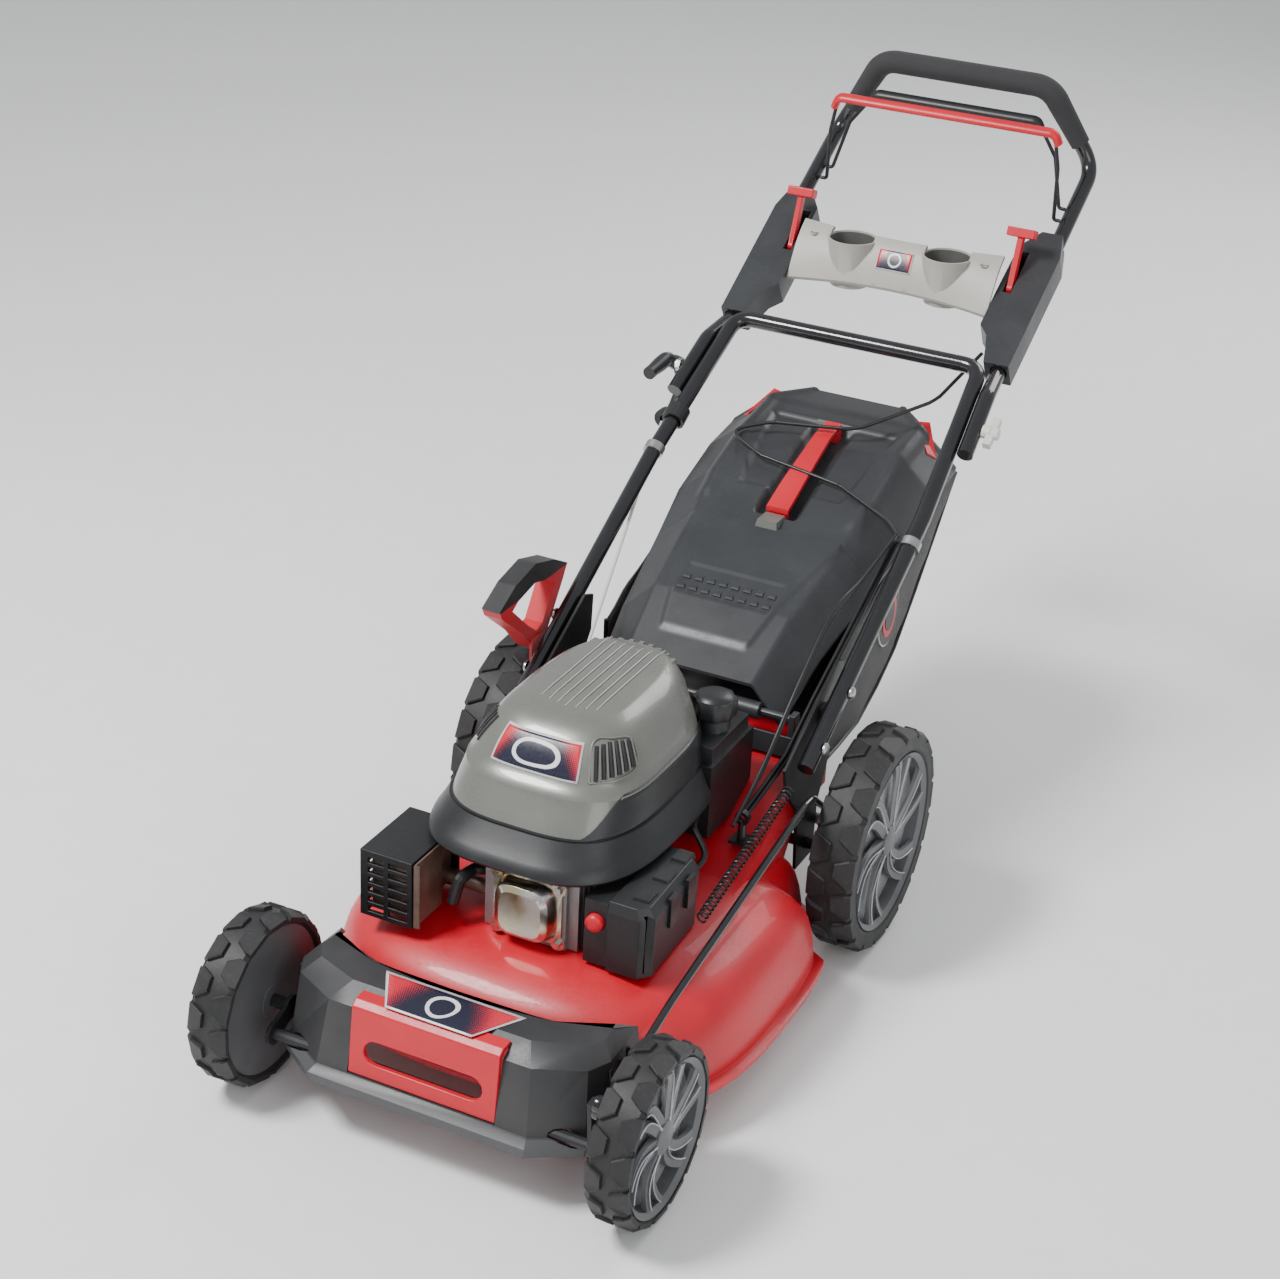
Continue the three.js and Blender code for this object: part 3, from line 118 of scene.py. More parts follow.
class Graph:
    """Short calls for building one node material."""

    def __init__(self, name):
        self.mat = bpy.data.materials.new(name)
        self.mat.use_nodes = True
        self.tree = self.mat.node_tree
        self.bsdf = self.tree.nodes["Principled BSDF"]
        coords = self.tree.nodes.new("ShaderNodeTexCoord")
        self.object = coords.outputs["Object"]
        self.uv = coords.outputs["UV"]

    def put(self, socket, value):
        if hasattr(value, "is_output"):
            self.tree.links.new(value, socket)
        elif isinstance(value, (tuple, list)) and len(value) == 3:
            socket.default_value = (*value, 1.0) if socket.type == "RGBA" else value
        else:
            socket.default_value = value

    def math(self, kind, a, b=0.0, c=0.0):
        node = self.tree.nodes.new("ShaderNodeMath")
        node.operation = kind
        for socket, value in zip(node.inputs, (a, b, c)):
            self.put(socket, value)
        return node.outputs[0]

    def noise(self, scale, detail=3.0, rough=0.55, vector=None):
        node = self.tree.nodes.new("ShaderNodeTexNoise")
        self.put(node.inputs["Vector"], vector or self.object)
        node.inputs["Scale"].default_value = scale
        node.inputs["Detail"].default_value = detail
        node.inputs["Roughness"].default_value = rough
        return node.outputs["Fac"]

    def remap(self, value, low, high, start=0.3, stop=0.7):
        node = self.tree.nodes.new("ShaderNodeMapRange")
        self.put(node.inputs["Value"], value)
        for name, number in (("From Min", start), ("From Max", stop),
                             ("To Min", low), ("To Max", high)):
            node.inputs[name].default_value = number
        return node.outputs["Result"]

    def mix(self, fac, a, b):
        node = self.tree.nodes.new("ShaderNodeMix")
        node.data_type = "RGBA"
        self.put(node.inputs["Factor"], fac)
        self.put(node.inputs[MIX_A], a)
        self.put(node.inputs[MIX_B], b)
        return node.outputs[MIX_RESULT]

    def axes(self, vector):
        node = self.tree.nodes.new("ShaderNodeSeparateXYZ")
        self.put(node.inputs[0], vector)
        return node.outputs

    def bump(self, height, strength, distance):
        node = self.tree.nodes.new("ShaderNodeBump")
        node.inputs["Strength"].default_value = strength
        node.inputs["Distance"].default_value = distance
        self.put(node.inputs["Height"], height)
        self.put(self.bsdf.inputs["Normal"], node.outputs["Normal"])

    def finish(self, color, rough, metal=0.0, coat=0.0, sheen=0.0):
        self.put(self.bsdf.inputs["Base Color"], color)
        self.put(self.bsdf.inputs["Roughness"], rough)
        self.put(self.bsdf.inputs["Metallic"], metal)
        self.put(self.bsdf.inputs["Coat Weight"], coat)
        self.put(self.bsdf.inputs["Sheen Weight"], sheen)
        return self.mat


def tone(color, factor):
    return tuple(min(1.0, c * factor) for c in color)


def surface(name, color, rough, metal=0.0, coat=0.0, mottle=0.14, scale=18.0, grain=900.0,
            strength=0.2, depth=0.0003, dust=0.0):
    """Colour drift, uneven gloss and a fine grain, with dust lying on it where wanted."""
    g = Graph(name)
    drift = g.noise(scale, 4.0)
    fine = g.noise(grain, 2.0)
    shade = g.mix(g.remap(drift, 0.0, 1.0), tone(color, 1.0 - mottle), tone(color, 1.0 + mottle))
    if dust:
        speck = g.math("MULTIPLY", g.remap(g.noise(160.0, 5.0, 0.7), 0.0, dust, 0.52, 0.72),
                       g.remap(g.noise(6.0), 0.2, 1.0))
        shade = g.mix(speck, shade, (0.33, 0.31, 0.26))
    gloss = g.math("ADD", g.remap(fine, -0.05, 0.07), g.remap(drift, rough - 0.04, rough + 0.06))
    g.bump(fine, strength, depth)
    return g.finish(shade, gloss, metal, coat)


RED_PAINT = surface("red_paint", (0.56, 0.005, 0.018), 0.40, coat=0.12, mottle=0.06, grain=260.0,
                    strength=0.10, depth=0.0003, dust=0.02)
RED_PLASTIC = surface("red_plastic", (0.58, 0.007, 0.020), 0.36, mottle=0.06, dust=0.02)
BLACK_PLASTIC = surface("black_plastic", (0.013, 0.0135, 0.015), 0.38, dust=0.03)
BLACK_SHINE = surface("black_shine", (0.010, 0.010, 0.012), 0.16, coat=0.5, grain=300.0,
                      strength=0.08, dust=0.03)
BLACK_METAL = surface("black_metal", (0.018, 0.018, 0.020), 0.38, metal=0.3, dust=0.05)
DARK_PLASTIC = surface("dark_plastic", (0.027, 0.029, 0.032), 0.40, mottle=0.08, dust=0.04)
COWL_GREY = surface("cowl_grey", (0.165, 0.167, 0.150), 0.30, metal=0.25, coat=0.35, mottle=0.05,
                    grain=1400.0, dust=0.01)
CONSOLE_GREY = surface("console_grey", (0.40, 0.385, 0.345), 0.42, mottle=0.05, dust=0.03)
FOAM = surface("foam", (0.030, 0.030, 0.032), 0.85, grain=1500.0, strength=0.7, depth=0.0008)
RUBBER = surface("tyre_rubber", (0.015, 0.015, 0.016), 0.55, scale=30.0, strength=0.3,
                 depth=0.0004, dust=0.08)
RIM_GREY = surface("rim_grey", (0.12, 0.124, 0.13), 0.34, metal=0.35, dust=0.03)
# silver of the wheel discs; also the colour of the pale lines along the spoke tops, which are
# painted highlights
RIM_SILVER_AND_GLINT = surface("rim_silver_and_glint", (0.46, 0.47, 0.49), 0.30, metal=0.5, dust=0.02)
STEEL = surface("steel", (0.50, 0.50, 0.49), 0.30, metal=1.0, scale=40.0)
CAST = surface("cast_alloy", (0.34, 0.34, 0.34), 0.52, metal=0.8, grain=500.0, strength=0.5,
               depth=0.0006, dust=0.12)
RUST = surface("hot_steel", (0.27, 0.19, 0.15), 0.5, metal=0.8, mottle=0.35, scale=30.0)
WHITE = surface("pale_plastic", (0.66, 0.65, 0.60), 0.4, mottle=0.05)
CABLE = surface("cable_sheath", (0.012, 0.012, 0.013), 0.4, scale=50.0)


def plated():
    """Yellow-zinc plating: straw, pink and green drifting over bright steel."""
    g = Graph("zinc_plate")
    hue = g.noise(26.0, 3.0, 0.6)
    straw = g.mix(g.remap(hue, 0.0, 1.0, 0.35, 0.6), (0.70, 0.62, 0.36), (0.62, 0.60, 0.58))
    shade = g.mix(g.remap(g.noise(55.0), 0.0, 0.35, 0.5, 0.7), straw, (0.45, 0.56, 0.40))
    g.bump(g.noise(240.0), 0.15, 0.0003)
    return g.finish(shade, g.remap(hue, 0.14, 0.30), 1.0)


def fabric():
    """Woven bag cloth: two crossed rows of threads, with a soft sheen."""
    g = Graph("bag_cloth")
    out = g.axes(g.object)
    across = g.math("SINE", g.math("MULTIPLY", g.math("ADD", out[0], out[1]), 3600.0))
    along = g.math("SINE", g.math("MULTIPLY", g.math("SUBTRACT", out[2], out[1]), 3600.0))
    weave = g.math("MULTIPLY", across, along)
    drift = g.noise(14.0)
    shade = g.mix(g.remap(weave, 0.0, 1.0, -1.0, 1.0), (0.008, 0.008, 0.009),
                  (0.022, 0.022, 0.024))
    shade = g.mix(g.remap(drift, 0.0, 0.3), shade, (0.035, 0.035, 0.037))
    g.bump(weave, 0.5, 0.0006)
    return g.finish(shade, g.remap(drift, 0.74, 0.9), 0.0, 0.0, 0.25)


def braid():
    g = Graph("starter_cord")
    out = g.axes(g.object)
    strand = g.math("SINE", g.math("MULTIPLY", g.math("ADD", out[1], out[2]), 2400.0))
    shade = g.mix(g.remap(strand, 0.0, 1.0, -1.0, 1.0), (0.50, 0.49, 0.44), (0.78, 0.77, 0.72))
    g.bump(strand, 0.5, 0.0006)
    return g.finish(shade, 0.7)


def badge(name, aspect, ring=0.30):
    """A dark printed plate: pale edge line, red dot screen towards its ends, pale ring."""
    g = Graph(name)
    out = g.axes(g.uv)
    u = g.math("SUBTRACT", out[0], 0.5)
    v = g.math("SUBTRACT", out[1], 0.5)
    au = g.math("ABSOLUTE", u)
    av = g.math("ABSOLUTE", v)
    edge_u = g.math("MULTIPLY", g.math("SUBTRACT", 0.5, au), aspect)
    edge = g.math("MINIMUM", edge_u, g.math("SUBTRACT", 0.5, av))
    line = g.math("LESS_THAN", edge, 0.055)
    wide = g.math("MULTIPLY", u, aspect)
    radius = g.math("SQRT", g.math("ADD", g.math("MULTIPLY", wide, wide),
                                   g.math("MULTIPLY", v, v)))
    band = g.math("LESS_THAN", g.math("ABSOLUTE", g.math("SUBTRACT", radius, ring)), 0.045)
    pitch = 22.0
    cell_u = g.math("SUBTRACT", g.math("FRACT", g.math("MULTIPLY", wide, pitch)), 0.5)
    cell_v = g.math("SUBTRACT", g.math("FRACT", g.math("MULTIPLY", v, pitch)), 0.5)
    dot = g.math("SQRT", g.math("ADD", g.math("MULTIPLY", cell_u, cell_u),
                                g.math("MULTIPLY", cell_v, cell_v)))
    reach = g.math("ADD", g.math("MULTIPLY", au, 2.6), g.math("MULTIPLY", v, 0.8))
    dots = g.math("LESS_THAN", dot, g.remap(reach, 0.0, 0.75, 0.55, 1.35))
    shade = g.mix(dots, (0.012, 0.013, 0.030), (0.60, 0.02, 0.04))
    shade = g.mix(g.math("LESS_THAN", radius, ring + 0.08), shade, (0.012, 0.013, 0.030))
    shade = g.mix(band, shade, (0.75, 0.75, 0.75))
    shade = g.mix(line, shade, (0.62, 0.62, 0.62))
    fine = g.noise(300.0)
    return g.finish(shade, g.remap(fine, 0.24, 0.34))


def split_by_height(name, lower, upper, level, rough, lean=0.0):
    """Two moulded colours meeting at a height, in metres."""
    g = Graph(name)
    out = g.axes(g.object)
    height = g.math("ADD", out[2], g.math("MULTIPLY", out[1], lean))
    step = g.math("GREATER_THAN", height, level)
    fine = g.noise(800.0)
    shade = g.mix(step, lower, upper)
    shade = g.mix(g.remap(g.noise(16.0), 0.0, 0.18), shade, (0.12, 0.11, 0.10))
    g.bump(fine, 0.25, 0.0003)
    return g.finish(shade, g.remap(fine, rough - 0.06, rough + 0.08))


ZINC = plated()
CLOTH = fabric()
CORD = braid()

# ------------------------------------------------------------------ shapes


def make(name, verts, faces, material, smooth=40.0, uvs=None):
    mesh = bpy.data.meshes.new(name)
    mesh.from_pydata([tuple(v) for v in verts], [], faces)
    b = bmesh.new()
    b.from_mesh(mesh)
    if uvs:
        layer = b.loops.layers.uv.new("UVMap")
        b.verts.ensure_lookup_table()
        for face in b.faces:
            for loop in face.loops:
                loop[layer].uv = uvs[loop.vert.index]
    else:
        bmesh.ops.recalc_face_normals(b, faces=b.faces)
    b.to_mesh(mesh)
    b.free()
    mesh.polygons.foreach_set("use_smooth", [True] * len(mesh.polygons))
    mesh.set_sharp_from_angle(angle=math.radians(smooth))
    mesh.materials.append(material)
    obj = bpy.data.objects.new(name, mesh)
    bpy.context.scene.collection.objects.link(obj)
    return obj


def put(obj, body, *nodes, slot=None):
    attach(obj, body)
    if nodes:
        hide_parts(*nodes)
    return obj


def skin(rings, closed=True, caps=True):
    """Vertices and faces through equal rings."""
    n = len(rings[0])
    verts = [p for ring in rings for p in ring]
    faces = []
    for k in range(len(rings) - 1):
        for i in range(n if closed else n - 1):
            j = (i + 1) % n
            faces.append((k * n + i, k * n + j, (k + 1) * n + j, (k + 1) * n + i))
    if caps:
        faces.append(tuple(range(n))[::-1])
        faces.append(tuple((len(rings) - 1) * n + i for i in range(n)))
    return verts, faces


def rounded(corners, bend, steps=8):
    points = [corners[0].copy()]
    for i in range(1, len(corners) - 1):
        into = corners[i] - corners[i - 1]
        out = corners[i + 1] - corners[i]
        half = into.angle(out) / 2
        reach = min(bend * MM * math.tan(half), into.length * 0.48, out.length * 0.48)
        a = corners[i] - into.normalized() * reach
        b = corners[i] + out.normalized() * reach
        for k in range(steps + 1):
            t = k / steps
            points.append(a * (1 - t) ** 2 + corners[i] * 2 * t * (1 - t) + b * t * t)
    points.append(corners[-1].copy())
    return points


def smooth_curve(points, steps=8):
    """A Catmull-Rom curve through the points."""
    line = []
    for i in range(len(points) - 1):
        p0 = points[max(i - 1, 0)]
        p1, p2 = points[i], points[i + 1]
        p3 = points[min(i + 2, len(points) - 1)]
        for k in range(steps):
            t = k / steps
            line.append(0.5 * ((2 * p1) + (p2 - p0) * t + (2 * p0 - 5 * p1 + 4 * p2 - p3) * t ** 2
                               + (3 * p1 - p0 - 3 * p2 + p3) * t ** 3))
    line.append(points[-1].copy())
    return line


def tube_data(points, radius, sides=16):
    """A round tube in millimetres of radius along the points; radius may be a function."""
    tangents = []
    for i, _ in enumerate(points):
        a = points[max(i - 1, 0)]
        b = points[min(i + 1, len(points) - 1)]
        tangents.append((b - a).normalized())
    normal = tangents[0].orthogonal().normalized()
    rings = []
    for i, p in enumerate(points):
        normal = (normal - tangents[i] * normal.dot(tangents[i])).normalized()
        side = tangents[i].cross(normal)
        r = (radius(i / (len(points) - 1)) if callable(radius) else radius) * MM
        rings.append([p + (normal * math.cos(a) + side * math.sin(a)) * r
                      for a in (2 * math.pi * k / sides for k in range(sides))])
    return skin(rings)


def merged(parts):
    """Several (verts, faces) as one."""
    verts, faces = [], []
    for part_verts, part_faces in parts:
        start = len(verts)
        verts += list(part_verts)
        faces += [tuple(start + i for i in face) for face in part_faces]
    return verts, faces


def lathe(axis, profile, u, v, sides=48):
    """Profile of [radius, station] about an axis through (u, v), in millimetres."""
    rings = []
    for r, s in profile:
        ring = []
        for k in range(sides):
            a = 2 * math.pi * k / sides
            c, w = r * math.cos(a), r * math.sin(a)
            if axis == "x":
                ring.append(at(s, u + c, v + w))
            elif axis == "y":
                ring.append(at(u + c, s, v + w))
            else:
                ring.append(at(u + c, v + w, s))
        rings.append(ring)
    return skin(rings)


def block(x0, x1, y0, y1, z0, z1, taper=0.0):
    ring = [(x0, y0), (x1, y0), (x1, y1), (x0, y1)]
    cx, cy = (x0 + x1) / 2, (y0 + y1) / 2
    top = [(x + (cx - x) * taper, y + (cy - y) * taper) for x, y in ring]
    return skin([[at(x, y, z0) for x, y in ring], [at(x, y, z1) for x, y in top]])


def open_top(data):
    return data[0], data[1][:-1]


def across(points, x0, x1):
    return skin([[at(x0, y, z) for y, z in points], [at(x1, y, z) for y, z in points]])


def boolean(body, tool, kind):
    mod = body.modifiers.new("cut", "BOOLEAN")
    mod.operation = kind
    mod.solver = "EXACT"
    mod.object = tool
    bpy.context.view_layer.update()
    graph = bpy.context.evaluated_depsgraph_get()
    mesh = bpy.data.meshes.new_from_object(body.evaluated_get(graph))
    body.modifiers.clear()
    body.data = mesh
    bpy.data.objects.remove(tool)
    mesh.polygons.foreach_set("use_smooth", [True] * len(mesh.polygons))
    mesh.set_sharp_from_angle(angle=math.radians(32.0))
    return body


def refine(node, material, width=1.5, body=None, segments=2, smooth=30.0, name=None):
    """A copy of a CAD node with its edges rounded, standing for the node."""
    source = frame["nodes"][node]
    b = bmesh.new()
    b.from_mesh(source.data)
    bmesh.ops.remove_doubles(b, verts=b.verts, dist=2e-5)
    bmesh.ops.dissolve_limit(b, angle_limit=math.radians(1.5), verts=b.verts, edges=b.edges)
    mesh = bpy.data.meshes.new(name or f"{node}_body")
    b.to_mesh(mesh)
    b.free()
    mesh.materials.clear()
    mesh.materials.append(material)
    mesh.polygons.foreach_set("use_smooth", [True] * len(mesh.polygons))
    mesh.polygons.foreach_set("material_index", [0] * len(mesh.polygons))
    obj = bpy.data.objects.new(name or f"{node}_body", mesh)
    bpy.context.scene.collection.objects.link(obj)
    mod = obj.modifiers.new("edges", "BEVEL")
    mod.width = width * MM
    mod.segments = segments
    mod.limit_method = "ANGLE"
    mod.angle_limit = math.radians(smooth)
    mod.harden_normals = True
    mesh.set_sharp_from_angle(angle=math.radians(smooth))
    return put(obj, body or source["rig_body"], node, slot=SLOT[node])


SLOT = {s["node"]: s["material_slot"] for s in frame["record"]["subparts"]}


def repaint(material, *nodes):
    for node in nodes:
        mesh = frame["nodes"][node].data
        mesh.materials.clear()
        mesh.materials.append(material)


def add(name, data, material, body, *nodes, slot=None, smooth=40.0):
    obj = make(name, data[0], data[1], material, smooth)
    return put(obj, body, *nodes, slot=slot or (SLOT[nodes[0]] if nodes else None))


def mirror(data):
    verts, faces = data
    return [Vector((-v.x, v.y, v.z)) for v in verts], [tuple(reversed(f)) for f in faces]


# ------------------------------------------------------------------ handle frame

LEG_ANGLE = math.radians(30.54)
LEG_END = (-102.0, 266.6)
LEG_HALF_W = 188.0
LEG_TOP_HALF_W = 176.0
DROP = -27.0
TUBE_R = 10.5


def on_handle(x, s, lift=0.0):
    c, n = math.cos(LEG_ANGLE), math.sin(LEG_ANGLE)
    return at(x, LEG_END[0] + s * c - lift * n, LEG_END[1] + s * n + lift * c)


def both_sides(side):
    return side + [Vector((-p.x, p.y, p.z)) for p in reversed(side)]


LOWER = both_sides([on_handle(LEG_HALF_W, 0), on_handle(LEG_HALF_W, 385),
                    on_handle(LEG_TOP_HALF_W, 583), on_handle(LEG_TOP_HALF_W - 3, 635)])
SLOPE = (LEG_TOP_HALF_W - LEG_HALF_W) / 198


def upper_x(s):
    return LEG_HALF_W + SLOPE * (s - 385) + 2 * TUBE_R + 0.8


UPPER = [on_handle(upper_x(493), 493), on_handle(upper_x(590), 590),
         on_handle(UPPER_HALF_W, 668, DROP), on_handle(UPPER_HALF_W, 1036, DROP),
         on_handle(121, 1066, 80)]

add("lower_handle_tube", tube_data(rounded(LOWER, 52), TUBE_R, 20), BLACK_SHINE, "mower",
    "lower_handle")
add("upper_handle_tube", tube_data(rounded(both_sides(UPPER), 40), TUBE_R, 20), BLACK_SHINE,
    "handle", "upper_handle")
grip_start = UPPER[3].lerp(UPPER[4], 0.3)
add("foam_sleeve", tube_data(rounded(both_sides([grip_start, UPPER[4]]), 40, 12),
                             lambda t: 15.6 - 2.4 * (abs(2 * t - 1) > 0.985), 24),
    FOAM, "handle", "foam_grip")


def bail(name, half_top, half_low, s, lift, offset, color, node, body):
    pivot = BAIL_S + offset
    inner = UPPER_HALF_W - TUBE_R - 1
    low = on_handle(inner - 9, pivot, DROP)
    high = on_handle(half_low, pivot + (s - pivot) * 0.6, DROP + (lift - DROP) * 0.6)
    side = [on_handle(inner, pivot, DROP), low, high, on_handle(half_top, s, lift)]
    wire = tube_data(rounded(both_sides(side), 14), 2.6, 10)
    add(f"{name}_wire", wire, BLACK_METAL, body)
    end = on_handle(half_top + 6, s - 5, lift - 14)
    bar = both_sides([end, on_handle(half_top, s, lift)])
    points = rounded(bar, 16)
    mesh = tube_data(points, 1.0, 16)
    along_leg = (on_handle(0, 1, 0) - on_handle(0, 0, 0)).normalized()
    verts = []
    for i, p in enumerate(mesh[0]):
        middle = points[i // 16]
        q = (p - middle) / MM
        verts.append(middle + (q * 5.4 + along_leg * q.dot(along_leg) * 2.6) * MM)
    add(f"{name}_bar", (verts, mesh[1]), color, body, node)


bail("brake_bail", 156, 165, 985, 78, 0, RED_PLASTIC, "brake_bail", "bail_brake")
bail("drive_bail", 118, 150, 1022, 58, 22, BLACK_PLASTIC, "drive_bail", "bail_drive")

# ------------------------------------------------------------------ wheels


def wheel(tag, side, y, radius, inner, outer, seat, spokes, blocks):
    body = f"wheel_{tag}"
    z = radius
    casing = radius - 4.5
    parts = [lathe("x", [(seat, inner + 3), (seat + 4, inner + 0.6), (casing - 6, inner + 0.6),
                         (casing, inner + 6), (casing, outer - 6), (casing - 6, outer - 0.6),
                         (seat + 4, outer - 0.6), (seat, outer - 3), (seat - 3, outer - 8),
                         (seat - 3, inner + 8)], y, z, 72)]
    parts[0] = (parts[0][0], parts[0][1][:-2])
    n = 72
    last = len(parts[0][0]) // n - 1
    parts[0] = (parts[0][0], parts[0][1] + [
        (last * n + i, last * n + (i + 1) % n, (i + 1) % n, i) for i in range(n)])
    pitch = 2 * math.pi / blocks
    middle = (inner + outer) / 2
    for k in range(blocks):
        for row in (0, 1):
            start = pitch * (k + 0.5 * row)
            edge = inner if row == 0 else outer
            way = 1 if row == 0 else -1
            plan = [(edge + way * 0.4, 0.06, -5.0), (edge + way * 7.0, 0.06, 0.0),
                    (middle + way * -4.0, 0.24, 0.0), (middle + way * -4.0, 0.70, 0.0),
                    (edge + way * 7.0, 0.93, 0.0), (edge + way * 0.4, 0.93, -5.0)]
            rings = []
            for grow, level in ((0.0, -3.0), (0.03, 3.3), (0.07, 4.4)):
                ring = []
                for px, share, dip in plan:
                    a = start + pitch * (share + (grow if share < 0.45 else -grow))
                    r = casing + level + dip * (1.0 if level > 0 else 0.6)
                    shift = way * grow * 14 if dip == 0 and px != edge + way * 7.0 else 0
                    ring.append(at(px - shift, y + r * math.cos(a), z + r * math.sin(a)))
                rings.append(ring)
            parts.append(skin(rings))
    tyre = merged(parts)
    rim = [
        lathe("x", [(seat - 2, inner + 4), (seat - 9, inner + 14), (seat - 9, outer - 16),
                    (seat - 8, outer - 6), (seat - 1, outer - 1.5), (seat - 0.8, outer - 5),
                    (seat - 0.8, inner + 5)], y, z, 64),
    ]
    disc = [lathe("x", [(seat - 6, outer - 24), (seat - 6, outer - 20), (0.5, outer - 18),
                        (0.5, outer - 24)], y, z, 48)]
    hub = [lathe("x", [(0.4, outer - 2), (13, outer - 2.4), (19, outer - 5), (21, outer - 12),
                       (22, outer - 20), (0.4, outer - 20)], y, z, 36),
           lathe("x", [(0.4, inner + 3), (20, inner + 3), (22, inner + 22), (0.4, inner + 22)],
                 y, z, 28)]
    spoke_faces = []
    glint_faces = []
    reach = seat - 8
    for k in range(spokes):
        for pair in (-1, 1):
            base = 2 * math.pi * k / spokes
            rings = []
            line = []
            steps = 8
            for i in range(steps + 1):
                t = i / steps
                r = 17 + (reach - 17) * t
                swirl = side * 0.32 * t * t
                spread = pair * (0.07 + 0.16 * (1 - t) ** 2 + 0.13 * t)
                a = base + swirl + spread
                half = (7.4 - 0.8 * t) / r
                deep = outer - 14 + 3 * t
                top = outer - 5.5 - 3.5 * math.sin(math.pi * t) + 1.5 * t
                ring = []
                for da, px in ((-half, deep), (-half * 0.8, top), (half * 0.8, top - 1.5),
                               (half, deep)):
                    ring.append(at(px, y + r * math.cos(a + da), z + r * math.sin(a + da)))
                rings.append(ring)
                # a thin pale line along one top edge of each spoke: a painted highlight
                line.append(at(top + 0.2, y + r * math.cos(a - pair * half * 0.7),
                               z + r * math.sin(a - pair * half * 0.7)))
            spoke_faces.append(skin(rings))
            glint_faces.append(tube_data(line, 0.9, 6))
    items = [("tyre", tyre, RUBBER, 30.0), ("rim", merged(rim + hub + spoke_faces), RIM_GREY, 35.0),
             ("disc", merged(disc), RIM_SILVER_AND_GLINT, 35.0), ("glint", merged(glint_faces), RIM_SILVER_AND_GLINT, 60.0)]
    for part, data, material, angle in items:
        data = data if side > 0 else mirror(data)
        node = (f"{part}_{tag}",) if part in ("tyre", "rim") else ()
        add(f"wheel_{tag}_{part}", data, material, body, *node, smooth=angle)


for side, hand in ((1, "left"), (-1, "right")):
    wheel(f"rear_{hand}", side, 0.0, 140.0, 213.0, 271.0, 113.0, 6, 19)
    wheel(f"front_{hand}", side, -WHEELBASE, 100.7, 216.0, 266.0, 87.7, 6, 15)

# ------------------------------------------------------------------ deck

ENGINE_Y = -WHEELBASE + 38.0 + 275.0
DECK_FRONT_L = 275.0
DECK_REAR_L = -28.0 - ENGINE_Y
DECK_HALF_W = 266
WELL_HALF_W = 206


def smooth_step(t):
    t = max(0.0, min(1.0, t))
    return t * t * (3 - 2 * t)


def deck_ring(z, inset, count=144):
    ring = []
    for i in range(count):
        a = 2 * math.pi * i / count
        c, s = math.cos(a), math.sin(a)
        long = (DECK_REAR_L if s > 0 else DECK_FRONT_L) - inset
        x = (DECK_HALF_W - inset) * abs(c) ** (2 / 3)
        if s > 0:
            well = smooth_step((s - 0.3) / 0.18)
            x = min(x, DECK_HALF_W + (WELL_HALF_W - DECK_HALF_W) * well - inset)
        ring.append(at(math.copysign(x, c), ENGINE_Y + math.copysign(
            long * abs(s) ** (2 / 3), s), z))
    return ring


levels = [(60, 12), (66, 12.6), (80, 14), (100, 17), (118, 22), (132, 30), (143, 40), (151, 52),
          (158, 68), (163, 84), (166.5, 100), (168, 118)]
outer_rings = [deck_ring(52, 0), deck_ring(57.5, 0), deck_ring(58.5, 2), deck_ring(59, 11)]
outer_rings += [deck_ring(z, i) for z, i in levels]
inner_rings = [deck_ring(49, 15)] + [deck_ring(z - 3, i + 3) for z, i in levels]
HUMP_Y = ENGINE_Y + 75
deck = make("deck_red_shell", *skin(outer_rings), RED_PAINT)
hump = make("hump", *across([(HUMP_Y - 40, 120), (HUMP_Y - 40, 165), (HUMP_Y - 6, 168.4),
                             (HUMP_Y + 14, 175), (-78, 236), (-60, 242), (-40, 245),
                             (22, 252), (22, 182), (-62, 182), (-112, 112)], -168, 168), RED_PAINT)
boolean(deck, hump, "UNION")
boolean(deck, make("inside", *skin(inner_rings), RED_PAINT), "DIFFERENCE")
boolean(deck, make("passage", *across([(HUMP_Y - 20, 70), (HUMP_Y - 20, 140), (HUMP_Y, 164),
                                       (-60, 238), (30, 248), (30, 185), (-63.5, 185),
                                       (-115, 112), (-115, 70)], -165, 165), RED_PAINT),
        "DIFFERENCE")
boolean(deck, make("bore", *lathe("z", [(40, 140), (40, 190)], 0, ENGINE_Y, 40), RED_PAINT),
        "DIFFERENCE")
put(deck, "mower", "deck_shell", slot=SLOT["deck_shell"])

# ------------------------------------------------------------------ front cover

cover_paint = split_by_height("fascia", (0.050, 0.053, 0.058), (0.022, 0.023, 0.026), 0.084, 0.42)
refine("front_cover", cover_paint, 2.2, segments=2, smooth=18.0)
refine("front_handle", RED_PLASTIC, 2.0, segments=3)
grooves = []
for side in (1, -1):
    for k in range(3):
        y = -WHEELBASE + 12 + 22 * k
        x = side * (190.5 - 0.04 * abs(y + WHEELBASE))
        grooves.append(tube_data([at(x + side * 3.6, y, 90), at(x + side * 1.0, y, 126),
                                  at(x - side * 1.5, y, 152)], 2.4, 8))
add("cover_grooves", merged(grooves), BLACK_PLASTIC, "mower")


def patch(name, grid, material, body):
    """A printed plate laid over a grid of points, with its own print coordinates."""
    rows, cols = len(grid), len(grid[0])
    verts = [p for row in grid for p in row]
    uvs = [(i / (cols - 1), j / (rows - 1)) for j in range(rows) for i in range(cols)]
    faces = [(j * cols + i, j * cols + i + 1, (j + 1) * cols + i + 1, (j + 1) * cols + i)
             for j in range(rows - 1) for i in range(cols - 1)]
    obj = make(name, verts, faces, material, 60.0, uvs)
    mod = obj.modifiers.new("sheet", "SOLIDIFY")
    mod.thickness = 0.0005
    mod.offset = 0.0
    return put(obj, body)


decal = []
for j in range(9):
    t = j / 8
    y = -WHEELBASE - 39 + 58 * t
    z = 174.9 - 0.3 * t
    half = 52 + 34 * t
    decal.append([at(-half + 2 * half * i / 12, y, z) for i in range(13)])
patch("cover_badge", decal, badge("cover_print", 2.6), "mower")

# ------------------------------------------------------------------ engine

